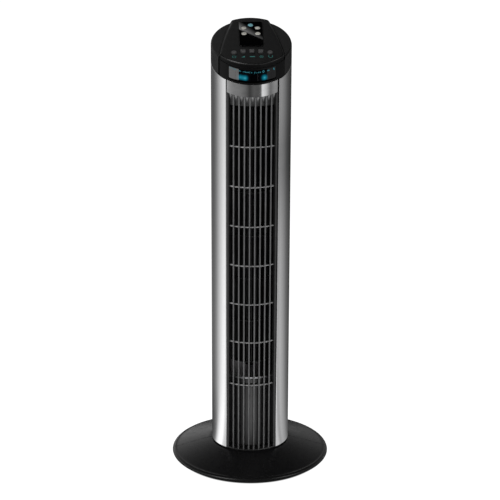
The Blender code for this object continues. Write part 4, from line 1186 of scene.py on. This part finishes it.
# what polished surfaces see of the studio floor: light falls on it from two sides, so its brightness
# changes with the direction from the fan and with the distance
card_mat = bpy.data.materials.new("floor_light_pattern")
card_mat.use_nodes = True
nt = card_mat.node_tree
nt.nodes.clear()
N = nt.nodes.new
L = nt.links.new


def mth(op, a, b=None, c=None):
    n = N("ShaderNodeMath")
    n.operation = op
    for i, v in enumerate((a, b, c)):
        if v is None:
            continue
        if isinstance(v, (int, float)):
            n.inputs[i].default_value = v
        else:
            L(v, n.inputs[i])
    return n.outputs[0]


tc = N("ShaderNodeTexCoord")
sx = N("ShaderNodeSeparateXYZ")
L(tc.outputs["Object"], sx.inputs[0])
ang = mth("ARCTAN2", sx.outputs["X"], mth("MULTIPLY", sx.outputs["Y"], -1.0))
u = mth("ADD", mth("MULTIPLY", ang, 1 / (2 * pi)), 0.5)
PATTERN = [(-180, .16), (-138, .15), (-128, .22), (-118, .34), (-108, .62), (-98, .90), (-88, 1.2), (-79, 1.32), (-72, .78), (-66, .66), (-54, .5),
           (-30, .40), (-18, .29), (-6, .10), (6, .22), (18, .19), (26.5, .28), (28.5, 1.9), (36, 1.5), (42, 1.2), (48, .68), (54, .34), (66, .58), (74, .64), (82, .44),
           (92, .58), (112, .33), (122, .19), (132, .132), (142, .09), (158, .065), (180, .13)]
ramp = N("ShaderNodeValToRGB")
els = ramp.color_ramp.elements
while len(els) > 1:
    els.remove(els[-1])
for i, (a, e) in enumerate(PATTERN):
    pos = (a + 180) / 360.0
    el = els[0] if i == 0 else els.new(pos)
    el.position = pos
    el.color = (e / 2, e / 2, e / 2, 1)
L(u, ramp.inputs["Fac"])
dist = mth("SQRT", mth("ADD", mth("POWER", sx.outputs["X"], 2.0), mth("POWER", sx.outputs["Y"], 2.0)))


def distance_ramp(stops):
    """Brightness against the distance from the fan, in metres, up to 2.5."""
    n = N("ShaderNodeValToRGB")
    e = n.color_ramp.elements
    while len(e) > 1:
        e.remove(e[-1])
    for i, (d, f_) in enumerate(stops):
        el = e[0] if i == 0 else e.new(d / 2.5)
        el.position = d / 2.5
        el.color = (f_ / 2, f_ / 2, f_ / 2, 1)
    L(mth("DIVIDE", dist, 2.5), n.inputs["Fac"])
    return mth("MULTIPLY", n.outputs["Color"], 2.0)


near_b = distance_ramp([(0.0, 0.4), (0.16, 0.42), (0.25, 0.62), (0.38, 0.95), (0.6, 1.08), (0.9, 1.08), (1.2, 1.0), (1.5, .945), (1.95, .87), (2.5, .8)])
near_l = distance_ramp([(0.0, 1.26), (0.16, 1.28), (0.25, 1.24), (0.4, 1.14), (0.6, 1.13), (0.9, 1.08), (1.2, 1.0), (1.5, .945), (1.95, .87), (2.5, .8)])
near_r = distance_ramp([(0.0, 0.9), (0.12, 0.95), (0.178, 1.05), (0.3, 1.12), (0.6, 1.16), (0.9, 1.08), (1.2, 1.0), (1.5, .84), (1.95, .45), (2.2, .5), (2.5, .7)])
sidew = N("ShaderNodeMapRange")
sidew.interpolation_type = "SMOOTHSTEP"
for k, v in (("From Min", 1.25), ("From Max", 1.5), ("To Min", 0.0), ("To Max", 1.0)):
    sidew.inputs[k].default_value = v
L(ang, sidew.inputs["Value"])
w_ = sidew.outputs["Result"]
backw = N("ShaderNodeMapRange")
backw.interpolation_type = "SMOOTHSTEP"
for k, v in (("From Min", -1.95), ("From Max", -1.62), ("To Min", 1.0), ("To Max", 0.0)):
    backw.inputs[k].default_value = v
L(ang, backw.inputs["Value"])
left_ = mth("ADD", mth("MULTIPLY", near_b, backw.outputs["Result"]), mth("MULTIPLY", near_l, mth("SUBTRACT", 1.0, backw.outputs["Result"])))
fac = mth("ADD", mth("MULTIPLY", near_r, w_), mth("MULTIPLY", left_, mth("SUBTRACT", 1.0, w_)))
val = mth("MULTIPLY", mth("MULTIPLY", ramp.outputs["Color"], 2.0), fac)
spot = N("ShaderNodeValToRGB")
e = spot.color_ramp.elements
e[0].position, e[0].color = 0.16, (0, 0, 0, 1)
e[1].position, e[1].color = 0.24, (1, 1, 1, 1)
for p_, c_ in ((0.42, .7), (0.75, 0.0)):
    q_ = e.new(p_)
    q_.color = (c_, c_, c_, 1)
L(dist, spot.inputs["Fac"])
side = mth("MAXIMUM", mth("SUBTRACT", 1.0, mth("DIVIDE", mth("ABSOLUTE", mth("SUBTRACT", ang, 0.03)), 0.42)), 0.0)
val = mth("ADD", val, mth("MULTIPLY", mth("MULTIPLY", side, spot.outputs["Color"]), 3.6))
em = N("ShaderNodeEmission")
L(val, em.inputs["Strength"])
out = N("ShaderNodeOutputMaterial")
L(em.outputs[0], out.inputs[0])
card = stage_plane("floor_light_pattern", 40.0, -0.002, card_mat)
card.visible_camera = False
card.visible_diffuse = False
card.visible_shadow = False
card.visible_transmission = False

# sky: bright near the horizon, darker overhead
world = bpy.data.worlds.new("studio")
scene.world = world
world.use_nodes = True
nt = world.node_tree
nt.nodes.clear()
N = nt.nodes.new
L = nt.links.new
tc = N("ShaderNodeTexCoord")
sx = N("ShaderNodeSeparateXYZ")
L(tc.outputs["Generated"], sx.inputs[0])
wr = N("ShaderNodeValToRGB")
els = wr.color_ramp.elements
els[0].position, els[0].color = 0.0, (1, 1, 1, 1)
els[1].position, els[1].color = 1.0, (0.01, 0.01, 0.01, 1)
for p, c in ((0.14, 0.95), (0.32, 0.58), (0.5, 0.32), (0.62, 0.18), (0.72, 0.06), (0.79, 0.013)):
    e = els.new(p)
    e.color = (c, c, c, 1)
L(sx.outputs["Z"], wr.inputs["Fac"])
bg = N("ShaderNodeBackground")
L(wr.outputs["Color"], bg.inputs["Color"])
# the right half of the room is darker
xr = N("ShaderNodeValToRGB")
els = xr.color_ramp.elements
els[0].position, els[0].color = 0.42, (0.92, 0.92, 0.92, 1)
els[1].position, els[1].color = 0.57, (0.42, 0.42, 0.42, 1)
for p, c in ((0.48, 0.82), (0.8, 0.5)):
    e = els.new(p)
    e.color = (c, c, c, 1)
half = N("ShaderNodeMath")
half.operation = "MULTIPLY_ADD"
half.inputs[1].default_value = 0.5
half.inputs[2].default_value = 0.5
L(sx.outputs["X"], half.inputs[0])
L(half.outputs[0], xr.inputs["Fac"])
# and so is the camera's side
yr = N("ShaderNodeMapRange")
yr.interpolation_type = "SMOOTHSTEP"
for k, v in (("From Min", -0.75), ("From Max", -0.1), ("To Min", 0.22), ("To Max", 1.0)):
    yr.inputs[k].default_value = v
L(sx.outputs["Y"], yr.inputs["Value"])
both = N("ShaderNodeMath")
both.operation = "MULTIPLY"
L(xr.outputs["Color"], both.inputs[0])
L(yr.outputs["Result"], both.inputs[1])
L(both.outputs[0], bg.inputs["Strength"])
out = N("ShaderNodeOutputWorld")
L(bg.outputs[0], out.inputs[0])


def softbox(name, loc, target, sx_, sy_, radiance, only=None, diffuse=True):
    """An area light of a given radiance; only= names the pieces that it lights."""
    ld = bpy.data.lights.new(name, "AREA")
    ld.shape = "RECTANGLE"
    ld.size, ld.size_y = sx_, sy_
    ld.energy = radiance * pi * sx_ * sy_
    ob = bpy.data.objects.new(name, ld)
    scene.collection.objects.link(ob)
    ob.location = loc
    d = (Vector(target) - Vector(loc)).normalized()
    ob.rotation_euler = d.to_track_quat("-Z", "Y").to_euler()
    ob.visible_camera = False
    if not diffuse:
        ld.diffuse_factor = 0.0
    if only:
        coll = bpy.data.collections.new(name + "_receivers")
        for o in only:
            coll.objects.link(o)
        ob.light_linking.receiver_collection = coll
    return ob


softbox("key_left", (-1.9, -1.7, 2.5), (0, 0, 0.4), 1.4, 1.4, 4.0)
softbox("fill_right", (2.1, -1.2, 2.2), (0, 0, 0.4), 1.2, 1.2, 2.5)
softbox("front_top", (0.0, -2.6, 2.9), (0, 0, 0.4), 1.8, 0.8, 2.0,
        only=[o for o in scene.objects if o.type == "MESH" and not o.name.startswith("base_front") and not o.name.startswith("base_rear") and o.name != card.name])


def polar_pos(a, d, z):
    return (d * sin(radians(a)), -d * cos(radians(a)), z)


softbox("window_left", polar_pos(-54.5, 1.3, 0.42), (0, 0, 0.69), 0.82, 0.60, 3.5, only=[window, glow_l, glow_r], diffuse=False)
softbox("window_right", polar_pos(60.0, 1.3, 0.42), (0, 0, 0.69), 0.82, 0.60, 0.46, only=[window, glow_r], diffuse=False)
softbox("head_back_left", (-1.1, 1.7, 3.1), (0, 0, 0.73), 1.5, 1.5, 1.15, only=[head], diffuse=False)
softbox("head_back", (0.35, 1.9, 3.0), (0, 0, 0.73), 1.0, 1.2, 0.22, only=[head], diffuse=False)
softbox("panel_back", (-0.5, 1.8, 3.1), (0, 0, 0.73), 1.4, 1.3, 0.58, only=[panel], diffuse=False)
softbox("keys_back", (0.1, 1.66, 3.0), (0, 0, 0.73), 1.2, 1.2, 0.75, only=keys, diffuse=False)
softbox("rim_high_left", (-0.75, -0.7, 2.6), (0, 0, 0.73), 0.8, 0.8, 5.0, only=[bead], diffuse=False)


def receivers(ob, name, pieces):
    """Limits the light of an emissive stage object to some pieces."""
    coll = bpy.data.collections.new(name)
    for o in pieces:
        coll.objects.link(o)
    ob.light_linking.receiver_collection = coll


# the studio floor doesn't show in the polished window and the remote, which mirror darker parts of the room
dark_mirrors = {window.name, glow_l.name, glow_r.name, face.name, case.name} | {o.name for o in base_shells}
receivers(card, "floor_pattern_receivers", [o for o in scene.objects if o.type == "MESH" and o.name not in dark_mirrors and o.name not in (card.name, floor.name)])

# a lit panel behind the fan that mirrors in the remote: sharp lower edge, fading upwards and to the right
mirror_dir = Vector((0.0357, 0.5968, 0.8018)).normalized()
side_dir = mirror_dir.cross(Vector((0, 0, 1))).normalized()
rise_dir = side_dir.cross(mirror_dir).normalized()
centre = Vector((0.0, 0.0 + 18.9 * MM * CT, (H_PANEL + 18.9 * ST) * MM))
GLARE_D = 0.6


def glare_point(u_, v_):
    """Where the line of sight to the panel's point (u, v) in mm ends up at the lit panel after the mirror."""
    p = Vector((u_ * MM, v_ * MM * CT, (H_PANEL + v_ * ST) * MM))
    n = Vector((0, -ST, CT))
    d = (p - eye).normalized()
    r_ = d - 2 * d.dot(n) * n
    t_ = (GLARE_D - (p - centre).dot(mirror_dir)) / r_.dot(mirror_dir)
    return p + r_ * t_


gv, gf, gl = [], [], []
NU, NV = 24, 24
PEAK = [(-24.0, 1.0), (-17.0, 0.95), (-8.0, 0.78), (0.0, 0.63), (8.0, 0.42), (14.0, 0.31), (20.0, 0.22), (27.0, 0.16)]
for i in range(NU + 1):
    uu = -24.0 + 50.0 * i / NU
    v_low = 31.2 + (uu + 18.7) * (-1.0 - 31.2) / (20.6 + 18.7)
    depth = 19.5 - 0.45 * uu
    for (p0, g0), (p1, g1) in zip(PEAK, PEAK[1:]):
        if uu >= p0:
            top_g = g0 + (g1 - g0) * (uu - p0) / (p1 - p0)
    for j in range(NV + 1):
        w = j / NV
        gv.append(glare_point(uu, v_low + depth * w))
        gl.append(top_g * (1 - w) ** 1.25)
for i in range(NU):
    for j in range(NV):
        a_ = i * (NV + 1) + j
        gf.append((a_, a_ + 1, a_ + NV + 2, a_ + NV + 1))
me = bpy.data.meshes.new("remote_glare")
me.from_pydata([tuple(p) for p in gv], [], gf)
lay = me.color_attributes.new("glare", "FLOAT_COLOR", "POINT")
for i, g in enumerate(gl):
    lay.data[i].color = (g, g, g, 1.0)
gm = bpy.data.materials.new("remote_glare")
gm.use_nodes = True
gt = gm.node_tree
gt.nodes.clear()
ge = gt.nodes.new("ShaderNodeEmission")
ga = gt.nodes.new("ShaderNodeVertexColor")
ga.layer_name = "glare"
gt.links.new(ga.outputs["Color"], ge.inputs["Color"])
ge.inputs["Strength"].default_value = 2.6
go = gt.nodes.new("ShaderNodeOutputMaterial")
gt.links.new(ge.outputs[0], go.inputs[0])
me.materials.append(gm)
glare = bpy.data.objects.new("remote_glare", me)
scene.collection.objects.link(glare)
glare.visible_camera = False
glare.visible_diffuse = False
glare.visible_shadow = False
glare.visible_transmission = False
receivers(glare, "glare_receivers", [face, case])
for o in base_shells:
    o.visible_glossy = False
